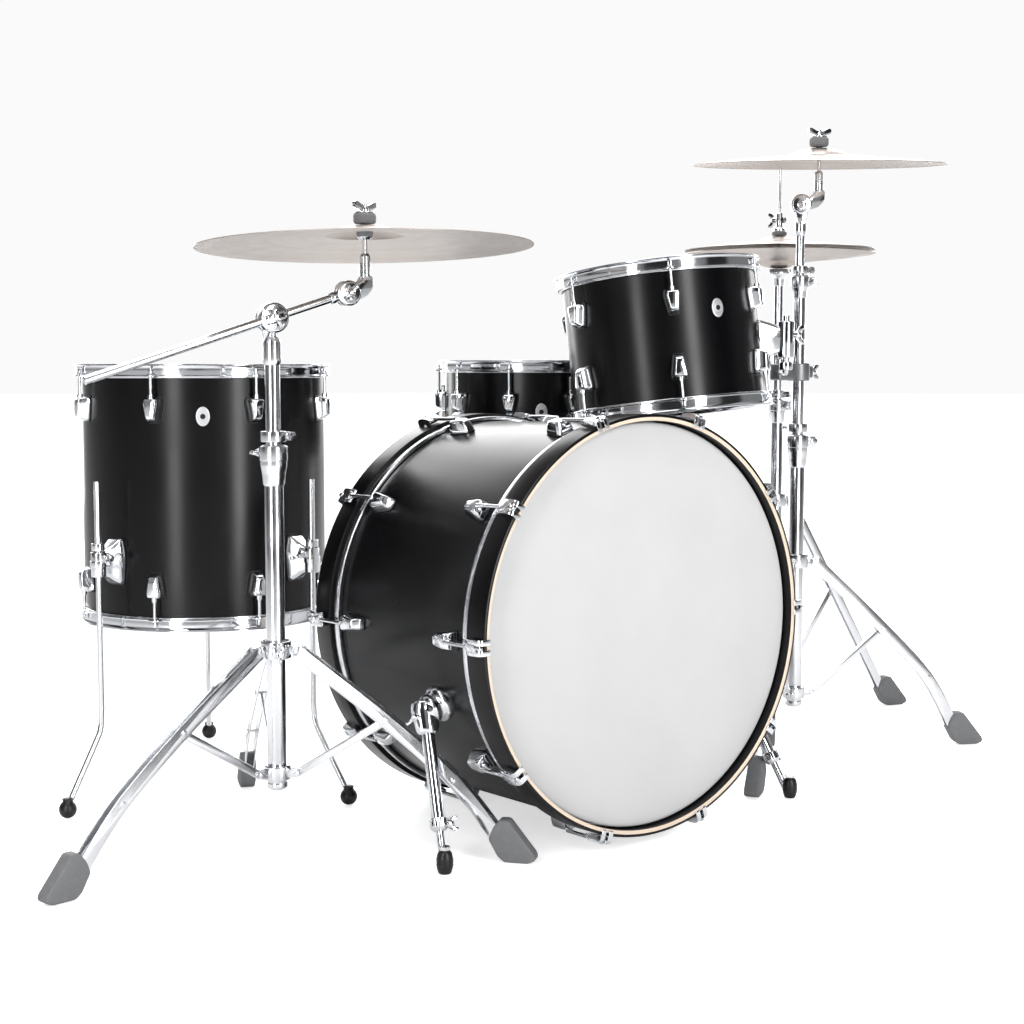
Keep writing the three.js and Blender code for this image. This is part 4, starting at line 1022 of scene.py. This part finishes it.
def collarShape(inner, outer, low, high, lugOut, offsets=(0,), angles=(0, 120, 240), lugTall=14):
    ring = ringOf(inner, outer, low, high, 1.8, 64)
    lugs = []
    for angle in angles:
        for y in offsets:
            mid = (low + high) / 2
            outline = [(inner + 2, mid - lugTall / 2), (lugOut, mid - 6.5), (lugOut + 5.5, mid)]
            outline += [(lugOut, mid + 6.5), (inner + 2, mid + lugTall / 2)]
            ear = placed(plate(rounded(outline, 3, 3, True), 3.3, 0.8),
                         Matrix.Translation((0, y, 0)) @ onEdge)
            lugs.append(placed(ear, spun(angle)))
    return merged(ring, *lugs)


def makeFoldingStand(name, nodes, bodies, s):
    # name for the pieces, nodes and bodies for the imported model's names
    legPoint = sum((jointPoint("%s_leg_%d_fold" % (bodies, i)) for i in (1, 2, 3)), Vector()) / 3
    centre = Matrix.Translation((legPoint.x, legPoint.y, 0))
    first = jointPoint(bodies + "_leg_1_fold") - legPoint
    turn = math.degrees(math.atan2(first.y, first.x))
    turnedPlace = centre @ spun(turn)
    t = tripodSettings
    base = [(11.7, 88), (s["tube"], 88), (s["tube"], s["top"] - 40), (11.7, s["top"] - 40)]
    tubeShape = turned(rounded(base, 0.8, 2, True), 64, True)
    top = s["top"]
    sleeve = [(11.7, top - 62), (16, top - 60), (17.4, top - 44), (20, top - 30), (20, top - 4)]
    sleeve += [(17, top), (11.7, top)]
    sleeveShape = turned(rounded(sleeve, 2, 3, True), 64, True)
    clamp = splitClamp(21, s["top"] - 24, s["top"] - 2, s["bolt"] - turn)
    stop = turned(rounded([(0, 84), (10, 84), (15.6, 88), (15.6, 96), (0, 96)], 1.6, 3), 48)
    low = collarShape(12, 20, t["lowCollar"] - 11, t["lowCollar"] + 11, t["braceOut"], (-4.4, 4.4))
    pins = [placed(rivet(t["braceOut"], t["lowCollar"], 12), spun(a)) for a in (0, 120, 240)]
    makePiece(name + "BaseTube", merged(tubeShape, sleeveShape, clamp, stop, low, *pins), [tubeChrome],
              "kit", turnedPlace,
              [nodes + "_base_tube"])
    c = s["collar"]
    slider = collarShape(s["tube"] + 0.7, 23, c - 13, c + 13, t["pivotOut"])
    knob = placed(wingBolt(10, 15), spun(60, 20, 0, c) @ Matrix.Rotation(math.pi / 2, 4, "Y"))
    boltBoss = placed(block(14, 18, 18, 3, 3), spun(60, 23, 0, c))
    makePiece(name + "SlidingCollar", merged(slider, knob, boltBoss), [tubeChrome], bodies + "_leg_collar",
              turnedPlace,
              [nodes + "_leg_collar"])
    knee, foot = s["knee"], s["footOut"]
    for i in (1, 2, 3):
        place = turnedPlace @ spun(120 * (i - 1))
        path = [(t["pivotOut"], c), (t["pivotOut"] + 0.3 * (knee[0] - 34), c + 0.3 * (knee[1] - c)), knee]
        path += [((knee[0] + foot) / 2 + 2, knee[1] * 0.58), (foot - 34, 40)]
        outline = smoothed(path, 8)
        cut = placed(plate(rounded(strip(outline, t["width"]), 6, 3, True), t["thick"], 0.6), onEdge)
        legs = [shifted(cut, y=y) for y in (-t["gap"] / 2, t["gap"] / 2)]
        mid = (t["pivotOut"] + (knee[0] - 34) * 0.42, c + (knee[1] - c) * 0.42)
        slope = math.atan2(knee[1] - c, knee[0] - t["pivotOut"])
        webPlace = Matrix.Translation((mid[0] + 4, 0, mid[1] + 6)) @ Matrix.Rotation(-slope, 4, "Y")
        web = placed(block(24, t["gap"], 2.6, 0.8), webPlace)
        holes = [(t["pivotOut"], c), knee, ((knee[0] + foot) / 2 + 2, knee[1] * 0.58)]
        rivets = [rivet(*hole, 17) for hole in holes]
        makePiece(name + "Leg%d" % i, merged(*legs, web, *rivets), [tubeChrome], bodies + "_leg_%d" % i,
                  place,
                  [nodes + "_leg_%d" % i])
        rubberHere = blackRubber if s.get("blackFoot") == i else greyRubber
        makePiece(name + "Foot%d" % i, footShape(foot), [rubberHere], bodies + "_leg_%d" % i, place, ())
        brace = [(t["braceOut"] - 3, t["lowCollar"] - 2), (t["braceOut"] + 20, t["lowCollar"] + 13)]
        brace.append((knee[0] - 3, knee[1] - 2))
        braceShape = placed(plate(rounded(strip(brace, 12.5), 5, 3, True), 3.6, 0.9), onEdge)
        makePiece(name + "Brace%d" % i, braceShape, [tubeChrome], bodies + "_brace_%d" % i, place,
                  [nodes + "_brace_%d" % i])
    return centre, turn


crashStandSettings = {"tube": 14.3, "top": 600, "bolt": 70, "collar": 296, "knee": (172, 198), "footOut": 372}
sideStandSettings = {"tube": 14.3, "top": 590, "bolt": -20, "collar": 357, "knee": (172, 226), "footOut": 347}
crashPlace, crashTurn = makeFoldingStand("crashStand", "crash_stand", "crash", crashStandSettings)
sidePlace, sideTurn = makeFoldingStand("sideStand", "side_stand", "side", sideStandSettings)
print("folding stands made")

# crash stand's upper tube, boom and cymbal
boomSettings = {"tail": 295, "head": 124, "radius": 6.35, "offset": -7.5, "tube": 11.1, "lean": -2.0,
                "cymbal": (254, 32, 62)}


def toothedDisc(radius, near, far):
    # a disc of the ratchet between two heights, its toothed face at near
    step = 1 if far > near else -1
    rim = [(0, near), (radius, near), (radius, far - step * 2.5), (radius - 3, far), (8, far)]
    rim += [(7, far + step), (0, far + step)]
    teeth = around(36, 0, shifted(block(6, 1.6, 1.2, 0.3), radius - 4.5, 0, near))
    return merged(turned(rounded(rim, 1.2, 3), 64), teeth)


def makeBoom():
    s = boomSettings
    mid, hinge = jointPoint("crash_boom_tilt"), jointAxis("crash_boom_tilt")
    way = jointAxis("crash_boom_reach")
    discs = framed(mid, up, hinge)
    tubeShape = turned(rounded([(7.8, 420), (s["tube"], 420), (s["tube"], 734), (7.8, 734)], 0.8, 2, True),
                       64, True)
    socket = [(0, 716), (s["tube"] + 0.6, 716), (13.4, 724), (13.4, 750), (10, 758), (0, 759)]
    lockRing = splitClamp(19, 604, 620, 10, 12)
    makePiece("crashMemoryLock", lockRing, [tubeChrome], "kit", crashPlace)
    fork = turned(rounded([(0, 745), (8, 745), (7, 763), (0, 763)], 1.5, 3), 40)
    uprightShape = merged(tubeShape, turned(rounded(socket, 1.8, 3), 64), fork)
    makePiece("crashUpperTube", uprightShape, [tubeChrome], "crash_upper_tube", crashPlace,
              ["crash_stand_upper_tube"])
    ear = plate(rounded([(-8, -34), (8, -34), (13, -16), (10, 4), (-10, 4), (-13, -16)], 5, 4, True), 8, 2, 3)
    ear = placed(ear, Matrix.Translation((0, 0, 8)) @ Matrix.Rotation(-math.pi / 2, 4, "Z"))
    half = merged(toothedDisc(22, 2.6, 12.5), ear)
    makePiece("crashRatchetHalf", half, [chrome], "crash_upper_tube", discs)
    makePiece("crashRatchetNut", hexNut(7, 12, 18), [chrome], "crash_upper_tube", discs)
    front = Matrix.Translation((0, 0, -15)) @ Matrix.Rotation(math.pi, 4, "X") @ Matrix.Rotation(0.5, 4, "Z")
    clampShape = merged(toothedDisc(22, 1.6, -16), placed(wingBolt(5, 15), front))
    makePiece("crashBoomClamp", clampShape, [chrome], "crash_boom_clamp", discs, ["crash_boom_clamp"])
    line = framed(mid + hinge * s["offset"] * mm, hinge, way)
    sleeve = merged(ringOf(s["radius"] + 0.8, 11.5, -17, 17, 2, 40),
                    shifted(block(16, 14, 28, 3, 3), -6, 0, 0))
    makePiece("crashBoomSleeve", sleeve, [chrome], "crash_boom_clamp", line)
    armShape = bar((0, 0, -s["tail"]), (0, 0, s["head"] - 15), s["radius"], 1.2, 32)
    rings = [ringOf(5.8, 6.7, z, z + 1, 0.3, 32) for z in np.arange(-s["tail"] + 12, -s["tail"] + 70, 4)]
    head = s["head"]
    neck = [(0, head - 30), (8, head - 30), (9, head - 24), (7.5, head - 12), (0, head - 10)]
    neck = turned(rounded(neck, 2, 3), 40)
    makePiece("crashBoomArm", merged(armShape, neck, *rings), [rodChrome], "crash_boom_arm", line,
              ["crash_boom_arm"])
    end = jointPoint("crash_tilt")
    lever = Matrix.Translation((0, 0, -10)) @ Matrix.Rotation(math.pi, 4, "X") @ Matrix.Rotation(-0.5, 4, "Z")
    endShape = merged(toothedDisc(19, 0.2, -11), placed(wingBolt(6, 13), lever))
    makePiece("crashBoomEnd", endShape, [chrome], "crash_boom_arm", framed(end, up, hinge))
    stem = jointPoint("crash_rock")
    hub = stem + up * cymbalSettings["lift"] * mm
    makeTilter("crash", "crash_tilter", "crash_tilter", end, stem, hub, hinge)
    level = Vector((way.x, way.y, 0)).normalized()
    lean = Matrix.Rotation(math.radians(s["lean"]), 4, level)
    makeCymbal("crashCymbal", "crash_cymbal", "crash_cymbal", Matrix.Translation(hub) @ lean, *s["cymbal"])


makeBoom()

# right-hand stand's tubes, cymbal, and the rack tom's clamp and arm
sideTopSettings = {"middle": 11.1, "upper": 7.9, "lean": 4.6, "cymbal": (228.6, 30, 55)}


def makeSideTop():
    s = sideTopSettings
    middle = turned(rounded([(8.7, 402), (s["middle"], 402), (s["middle"], 846), (8.7, 846)], 0.8, 2, True),
                    64, True)
    sleeve = [(8.7, 838), (12.4, 838), (13.4, 850), (16.4, 858), (16.4, 876), (14, 880), (8.7, 880)]
    lockRing = splitClamp(19, 594, 610, 40, 12)
    parts = [middle, turned(rounded(sleeve, 1.6, 3, True), 64, True), splitClamp(17.4, 857, 877, -38),
             lockRing]
    makePiece("sideMiddleTube", merged(*parts), [tubeChrome], "side_middle_tube", sidePlace,
              ["side_stand_middle_tube"])
    ratchet, across = jointPoint("side_cymbal_tilt"), jointAxis("side_cymbal_tilt")
    tubeShape = bar((0, 0, 702), (0, 0, 970), s["upper"], 0.8, 40)
    socket = turned(rounded([(0, 950), (9, 950), (10.4, 958), (10.4, 974), (7, 984), (0, 985)], 1.6, 3), 48)
    lockRing = splitClamp(14.5, 882, 896, 10, 10)
    makePiece("sideMemoryLock", lockRing, [tubeChrome], "side_middle_tube", sidePlace)
    makePiece("sideUpperTube", merged(tubeShape, socket), [tubeChrome], "side_upper_tube", sidePlace,
              ["side_stand_upper_tube"])
    faces = framed(ratchet, up, across)
    neck = plate(rounded([(-36, -7), (-36, 7), (-14, 12), (2, 9), (2, -9), (-14, -12)], 4, 3, True), 8, 2, 3)
    neck = shifted(neck, z=-6)
    lever = Matrix.Translation((0, 0, -10)) @ Matrix.Rotation(math.pi, 4, "X") @ Matrix.Rotation(-0.5, 4, "Z")
    half = merged(toothedDisc(19, 0.2, -11), neck, placed(wingBolt(6, 13), lever))
    makePiece("sideRatchetHalf", half, [chrome], "side_upper_tube", faces)
    stem = jointPoint("side_cymbal_rock")
    hub = stem + up * cymbalSettings["lift"] * mm
    makeTilter("side", "side_tilter", "side_tilter", ratchet, stem, hub, across)
    view = Vector((across.y, -across.x, 0)).normalized()
    lean = Matrix.Rotation(math.radians(s["lean"]), 4, view)
    makeCymbal("sideCymbal", "side_cymbal", "side_cymbal", Matrix.Translation(hub) @ lean, *s["cymbal"])


makeSideTop()

tomArmSettings = {"radius": 5.5, "top": 800, "clampOuter": 20.6}


def makeTomArm():
    s = tomArmSettings
    pivot, way = jointPoint("rack_tom_tilt"), jointAxis("rack_tom_tilt")
    swivel = jointPoint("rack_tom_swivel")
    centre = Vector((sidePlace.translation.x, sidePlace.translation.y, pivot.z))
    corner = Vector((swivel.x, swivel.y, pivot.z))
    if way.dot(corner - pivot) < 0:
        way = -way
    out = pivot - centre
    angle = math.degrees(math.atan2(out.y, out.x))
    reach = out.length / mm
    place = Matrix.Translation(centre) @ spun(angle)
    band = ringOf(11.9, s["clampOuter"], -16, 16, 2.5, 64)
    outline = [(16, -11), (reach - 14, -13), (reach + 12, -13), (reach + 13, 0)]
    outline += [(reach + 12, 13), (reach - 14, 13), (16, 11)]
    blockShape = plate(rounded(outline, 5, 4, True), 30, 4, 4)
    hinge = shifted(block(18, 13, 22, 3.5, 3), -25, 0, 0)
    makePiece("tomClampBlock", merged(band, blockShape, hinge), [zinc], "tom_clamp", place, ["tom_clamp"])
    eyeBolt = placed(wingBolt(8, 13), Matrix.Translation((-33, 0, 0)) @ Matrix.Rotation(-math.pi / 2, 4, "Y"))
    topBolt = placed(wingBolt(8, 14), Matrix.Translation((reach, 0, 14)) @ Matrix.Rotation(0.4, 4, "Z"))
    makePiece("tomClampBolts", merged(eyeBolt, topBolt), [chrome], "tom_clamp", place)
    a = pivot - way * 0.034
    points = [a, pivot, corner - way * 0.03, corner - way * 0.012, corner + up * 0.012, corner + up * 0.03]
    points.append(Vector((swivel.x, swivel.y, s["top"] * mm)))
    line = [tuple((p - pivot) / mm) for p in points]
    eased = rounded(line, 14, 6)
    makePiece("tomArm", swept(eased, s["radius"], 32), [rodChrome], "tom_arm", Matrix.Translation(pivot),
              ["tom_arm"])
    lock = ringOf(s["radius"], 11, 4, 18, 1.5, 40)
    makePiece("tomArmLock", lock, [chrome], "tom_arm", Matrix.Translation(corner))
    # bracket on the tom, round the arm's upright
    toTom = Vector((rackTomPlace.translation.x - swivel.x, rackTomPlace.translation.y - swivel.y, 0))
    gapTo = toTom.length / mm - rackTomSettings["radius"]
    bracketPlace = framed(Vector((swivel.x, swivel.y, 0.76)), toTom, up)
    sleeve = ringOf(6.4, 14, -31, 31, 2.4, 56)
    plateOutline = [(-16, -34), (16, -34), (20, -10), (20, 14), (14, 34), (-14, 34), (-20, 14), (-20, -10)]
    backPlate = plate(rounded(plateOutline, 7, 4, True), 9, 2.6, 3)
    backPlate = placed(backPlate, framed(Vector((gapTo + 1, 0, 0)), (0, 1, 0), (1, 0, 0)))
    neck = casting(((6, 20, 44), (gapTo * 0.4, 25, 50), (gapTo * 0.7, 34, 60), (gapTo, 42, 68)))
    wing = placed(wingBolt(10, 16), Matrix.Translation((-10, 0, 8)) @ Matrix.Rotation(-math.pi / 2, 4, "Y"))
    makePiece("rackTomBracket", merged(sleeve, backPlate, neck, wing), [chrome], "rack_tom", bracketPlace)


makeTomArm()
print("boom, side stand and tom arm made")


# snare stand and hi-hat
def plainTripod(name, node, place, s):
    r, c, low, top, foot = s["tube"], s["collar"], s["low"], s["top"], s["footOut"]
    knee = (foot * 0.47, c * 0.58)
    base = turned(rounded([(s["bore"], low), (r, low), (r, top - 30), (s["bore"], top - 30)], 0.8, 2, True),
                  56, True)
    sleeve = [(s["bore"], top - 50), (r + 2, top - 48), (r + 5, top - 26), (r + 5, top - 3), (s["bore"], top)]
    parts = [base, turned(rounded(sleeve, 2, 3, True), 56, True),
             splitClamp(r + 6, top - 24, top - 2, s["bolt"])]
    parts.append(collarShape(s["bore"] + 2, r + 8, c - 13, c + 13, r + 20, (0,), s["angles"]))
    parts.append(collarShape(s["bore"] + 2, r + 6, low + 4, low + 24, r + 16, (-4, 4), s["angles"]))
    knobPlace = spun(s["angles"][0] + 60, r + 6, 0, c) @ Matrix.Rotation(math.pi / 2, 4, "Y")
    parts.append(placed(wingBolt(9, 14), knobPlace))
    feet = []
    for angle in s["angles"]:
        path = smoothed([(r + 19, c), knee, (foot - 34, 40)], 10)
        cut = placed(plate(rounded(strip(path, 16), 6, 3, True), 2.4, 0.6), onEdge)
        arm = [shifted(cut, y=-7), shifted(cut, y=7), rivet(*knee, 17), rivet(r + 19, c, 17)]
        arm.append(
            placed(plate(rounded(strip([(r + 14, low + 14), knee], 12), 5, 3, True), 3.4, 0.9), onEdge)
        )
        arm.append(shifted(block(22, 14, 2.6, 0.8), knee[0] - 22, 0, knee[1] + 16))
        parts.append(placed(merged(*arm), spun(angle)))
        feet.append(placed(footShape(foot), spun(angle)))
    makePiece(name + "Tripod", merged(*parts), [tubeChrome], "kit", place, [node])
    makePiece(name + "Feet", merged(*feet), [greyRubber], "kit", place, ())


snareStandSettings = {"tube": 12.7, "bore": 9.7, "low": 70, "top": 440, "collar": 250, "bolt": 120,
                      "footOut": 225, "angles": (60, 180, 300)}
hatStandSettings = {"tube": 12.7, "bore": 10.1, "low": 62, "top": 648, "collar": 443, "bolt": 180,
                    "footOut": 287, "angles": (0, 120, 240)}
basketSettings = {"radius": 206, "low": 528, "angles": (60, 180, 300)}
snareFloor = Matrix.Translation((snarePlace.translation.x, snarePlace.translation.y, 0))
plainTripod("snareStand", "snare_stand_base", snareFloor, snareStandSettings)


def makeBasket():
    s = basketSettings
    low, out = s["low"], s["radius"]
    stem = bar((0, 0, 332), (0, 0, low - 6), 8.8, 1, 40)
    hub = [(0, low - 34), (18, low - 34), (24, low - 26), (24, low - 14), (15, low - 8), (0, low - 8)]
    hub = turned(rounded(hub, 3, 4), 56)
    arms, grips = [stem, hub], []
    for angle in s["angles"]:
        line = [(12, 0, low - 20), (out * 0.6, 0, low - 14), (out - 16, 0, low - 9), (out, 0, low + 4),
                (out, 0, low + 38)]
        arms.append(placed(swept(rounded(line, 14, 6), 4.9, 24), spun(angle)))
        grip = [(0, low + 6), (6, low + 6), (7.4, low + 12), (7.4, low + 34), (5.6, low + 40), (0, low + 41)]
        fins = [ringOf(6, 8, z, z + 2, 0.6, 28) for z in np.arange(low + 13, low + 33, 4)]
        grips.append(
            placed(shifted(merged(turned(rounded(grip, 1.5, 3), 32), *fins), x=out - 0.5), spun(angle))
        )
    makePiece("snareBasket", merged(*arms), [tubeChrome], "snare_drum", snareFloor, ["snare_basket"])
    makePiece("snareBasketGrips", merged(*grips), [greyRubber], "snare_drum", snareFloor, ())


def makeSnareFittings():
    r, half = snareSettings["radius"], snareSettings["depth"] / 2
    wires = []
    for x in np.linspace(-20, 20, 12):
        t = np.linspace(0, 1, 150)
        along = -r + 40 + t * (2 * r - 80)
        line = np.stack([x + 0.9 * np.cos(t * 360), along, -half - 3.2 + 0.9 * np.sin(t * 360)], 1)
        wires.append(swept([tuple(p) for p in line], 0.45, 5))
    ends = [shifted(block(50, 12, 1.4, 0.4), 0, y, -half - 3) for y in (-r + 36, r - 36)]
    straps = [shifted(block(26, 40, 0.6, 0.2), 0, y, -half - 3) for y in (-r + 14, r - 14)]
    spot = snarePlace @ spun(snareSettings["phase"] - 18 - 90)
    makePiece("snareWires", merged(*wires, *ends, *straps), [rodChrome], "snare_drum", spot)
    lever = plate(rounded([(-5, -6), (5, -6), (7, 40), (4, 52), (-4, 52), (-7, 40)], 3, 3, True), 6, 2)
    lever = placed(lever, Matrix.Translation((0, r + 15, -4)) @ onEdge)
    knob = turned(rounded([(0, 0), (8, 0), (8, 12), (0, 12)], 1.5, 3), 24)
    body, slide = shifted(block(44, 9, 62, 3, 3), 0, r + 3, -8), shifted(
        block(22, 16, 26, 3, 3), 0, r + 9, -14
    )
    throw = merged(body, slide, lever, shifted(knob, 0, r + 10, 18))
    butt = merged(shifted(block(44, 9, 34, 3, 3), 0, -r - 3, -18), shifted(hexNut(4, 0, 4), 0, -r - 8, -6))
    makePiece("snareStrainer", merged(throw, butt), [chrome], "snare_drum", spot)


makeBasket()
makeSnareFittings()

hatSettings = {"seat": 914, "radius": 190.5, "rise": 28, "bell": 50, "pedalAngle": 40}


def makeHiHat():
    s = hatSettings
    rodMiddle = middleOf("hihat_top_cymbal")
    centre = Matrix.Translation((rodMiddle.x, rodMiddle.y, 0))
    base = Vector(jointPoint("hihat_pedal"))
    toPedal = math.degrees(math.atan2(base.y - rodMiddle.y, base.x - rodMiddle.x))
    turn = toPedal - s["pedalAngle"]
    place = centre @ spun(turn)
    plainTripod("hiHat", "hihat_base", place, hatStandSettings)
    pedalPlace = centre @ spun(toPedal)
    heel = merged(shifted(block(34, 74, 19, 3, 3), 307, 0, 9.7),
                  shifted(block(284, 7.6, 3.8, 0.9), 160, 0, 2.1))
    heel = merged(heel, shifted(block(7.6, 7.6, 70, 1.4), 21, 0, 36))
    hinge = placed(bar((0, -37, 0), (0, 37, 0), 5.5, 1), Matrix.Translation((288, 0, 22)))
    makePiece("hiHatHeel", merged(heel, hinge), [zinc], "kit", pedalPlace)
    outline = [(-120, -24), (-96, -32), (60, -37), (112, -36), (118, -26), (118, 26), (112, 36), (60, 37),
               (-96, 32), (-120, 24)]
    board = plate(rounded(outline, 10, 4, True), 6, 1.6, 3)
    ribs = [shifted(block(3, 46 + i * 1.4, 2, 0.6), -96 + i * 13, 0, 3.4) for i in range(16)]
    slope = math.atan2(52 - 24, 285 - 44)
    boardPlace = pedalPlace @ Matrix.Translation(Vector((164.5, 0, 38)) * mm) @ Matrix.Rotation(slope, 4, "Y")
    makePiece("hiHatFootboard", merged(board, *ribs), [zinc], "hihat_footboard", boardPlace,
              ["hihat_footboard"])
    seat = s["seat"]
    upper = turned(rounded([(5.2, 482), (9.4, 482), (9.4, seat - 26), (5.2, seat - 26)], 0.6, 2, True), 48,
                   True)
    cup = [(5.2, seat - 40), (11, seat - 38), (12, seat - 24), (20, seat - 17), (22, seat - 14),
           (22, seat - 10), (5.2, seat - 10)]
    lockRing = splitClamp(16.5, 650, 666, 200, 12)
    makePiece("hiHatMemoryLock", lockRing, [tubeChrome], "kit", place)
    makePiece("hiHatUpperTube", merged(upper, turned(rounded(cup, 2, 3, True), 56, True)), [tubeChrome],
              "hihat_tube", place, ["hihat_upper_tube"])
    seatFelt = [(5.4, seat - 9.6), (18, seat - 9.6), (19, seat - 7), (17, seat - 4.4), (5.4, seat - 4.4)]
    seatFelt = turned(rounded(seatFelt, 1.2, 3, True), 64, True)
    makePiece("hiHatSeatFelt", seatFelt, [felt], "hihat_tube", place, ())
    edge = seat + s["rise"] + 4
    hub = edge + s["rise"] + 1.2
    makeCymbal("hiHatBottom", "hihat_bottom_cymbal", "hihat_tube",
               centre @ Matrix.Translation((0, 0, (seat - 3) * mm)),
               s["radius"], s["rise"], s["bell"], -1)
    makeCymbal("hiHatTop", "hihat_top_cymbal", "hihat_rod", centre @ Matrix.Translation((0, 0, hub * mm)),
               s["radius"], s["rise"], s["bell"])
    makePiece("hiHatRod", bar((0, 0, 94), (0, 0, 1119), 2.9, 1, 24), [rodChrome], "hihat_rod", place,
              ["hihat_pull_rod"])
    top = hub + 1
    felts = [(3.4, top), (13.5, top), (15, top + 2), (15, top + 6), (13.5, top + 8), (3.4, top + 8)]
    makePiece("hiHatClutchFelt", turned(rounded(felts, 1.4, 3, True), 64, True), [felt], "hihat_rod", place,
              ())
    clutch = [(3.2, top + 8.2), (12, top + 8.2), (12, top + 13), (7.4, top + 16), (6.6, top + 20),
              (6.6, top + 44), (5, top + 46), (3.2, top + 46)]
    under = ringOf(3.2, 9, hub - 12, hub - 4, 1.2, 40)
    wing = placed(wingBolt(9, 14),
                  Matrix.Translation((5, 0, top + 31)) @ Matrix.Rotation(math.pi / 2, 4, "Y"))
    stopNut = placed(hexNut(6, 0, 7),
                     Matrix.Translation((-6, 0, top + 31)) @ Matrix.Rotation(-math.pi / 2, 4, "Y"))
    makePiece("hiHatClutch", merged(turned(rounded(clutch, 0.8, 2, True), 48, True), under, wing, stopNut),
              [chrome],
              "hihat_rod", place)


makeHiHat()
print("snare stand and hi-hat made")

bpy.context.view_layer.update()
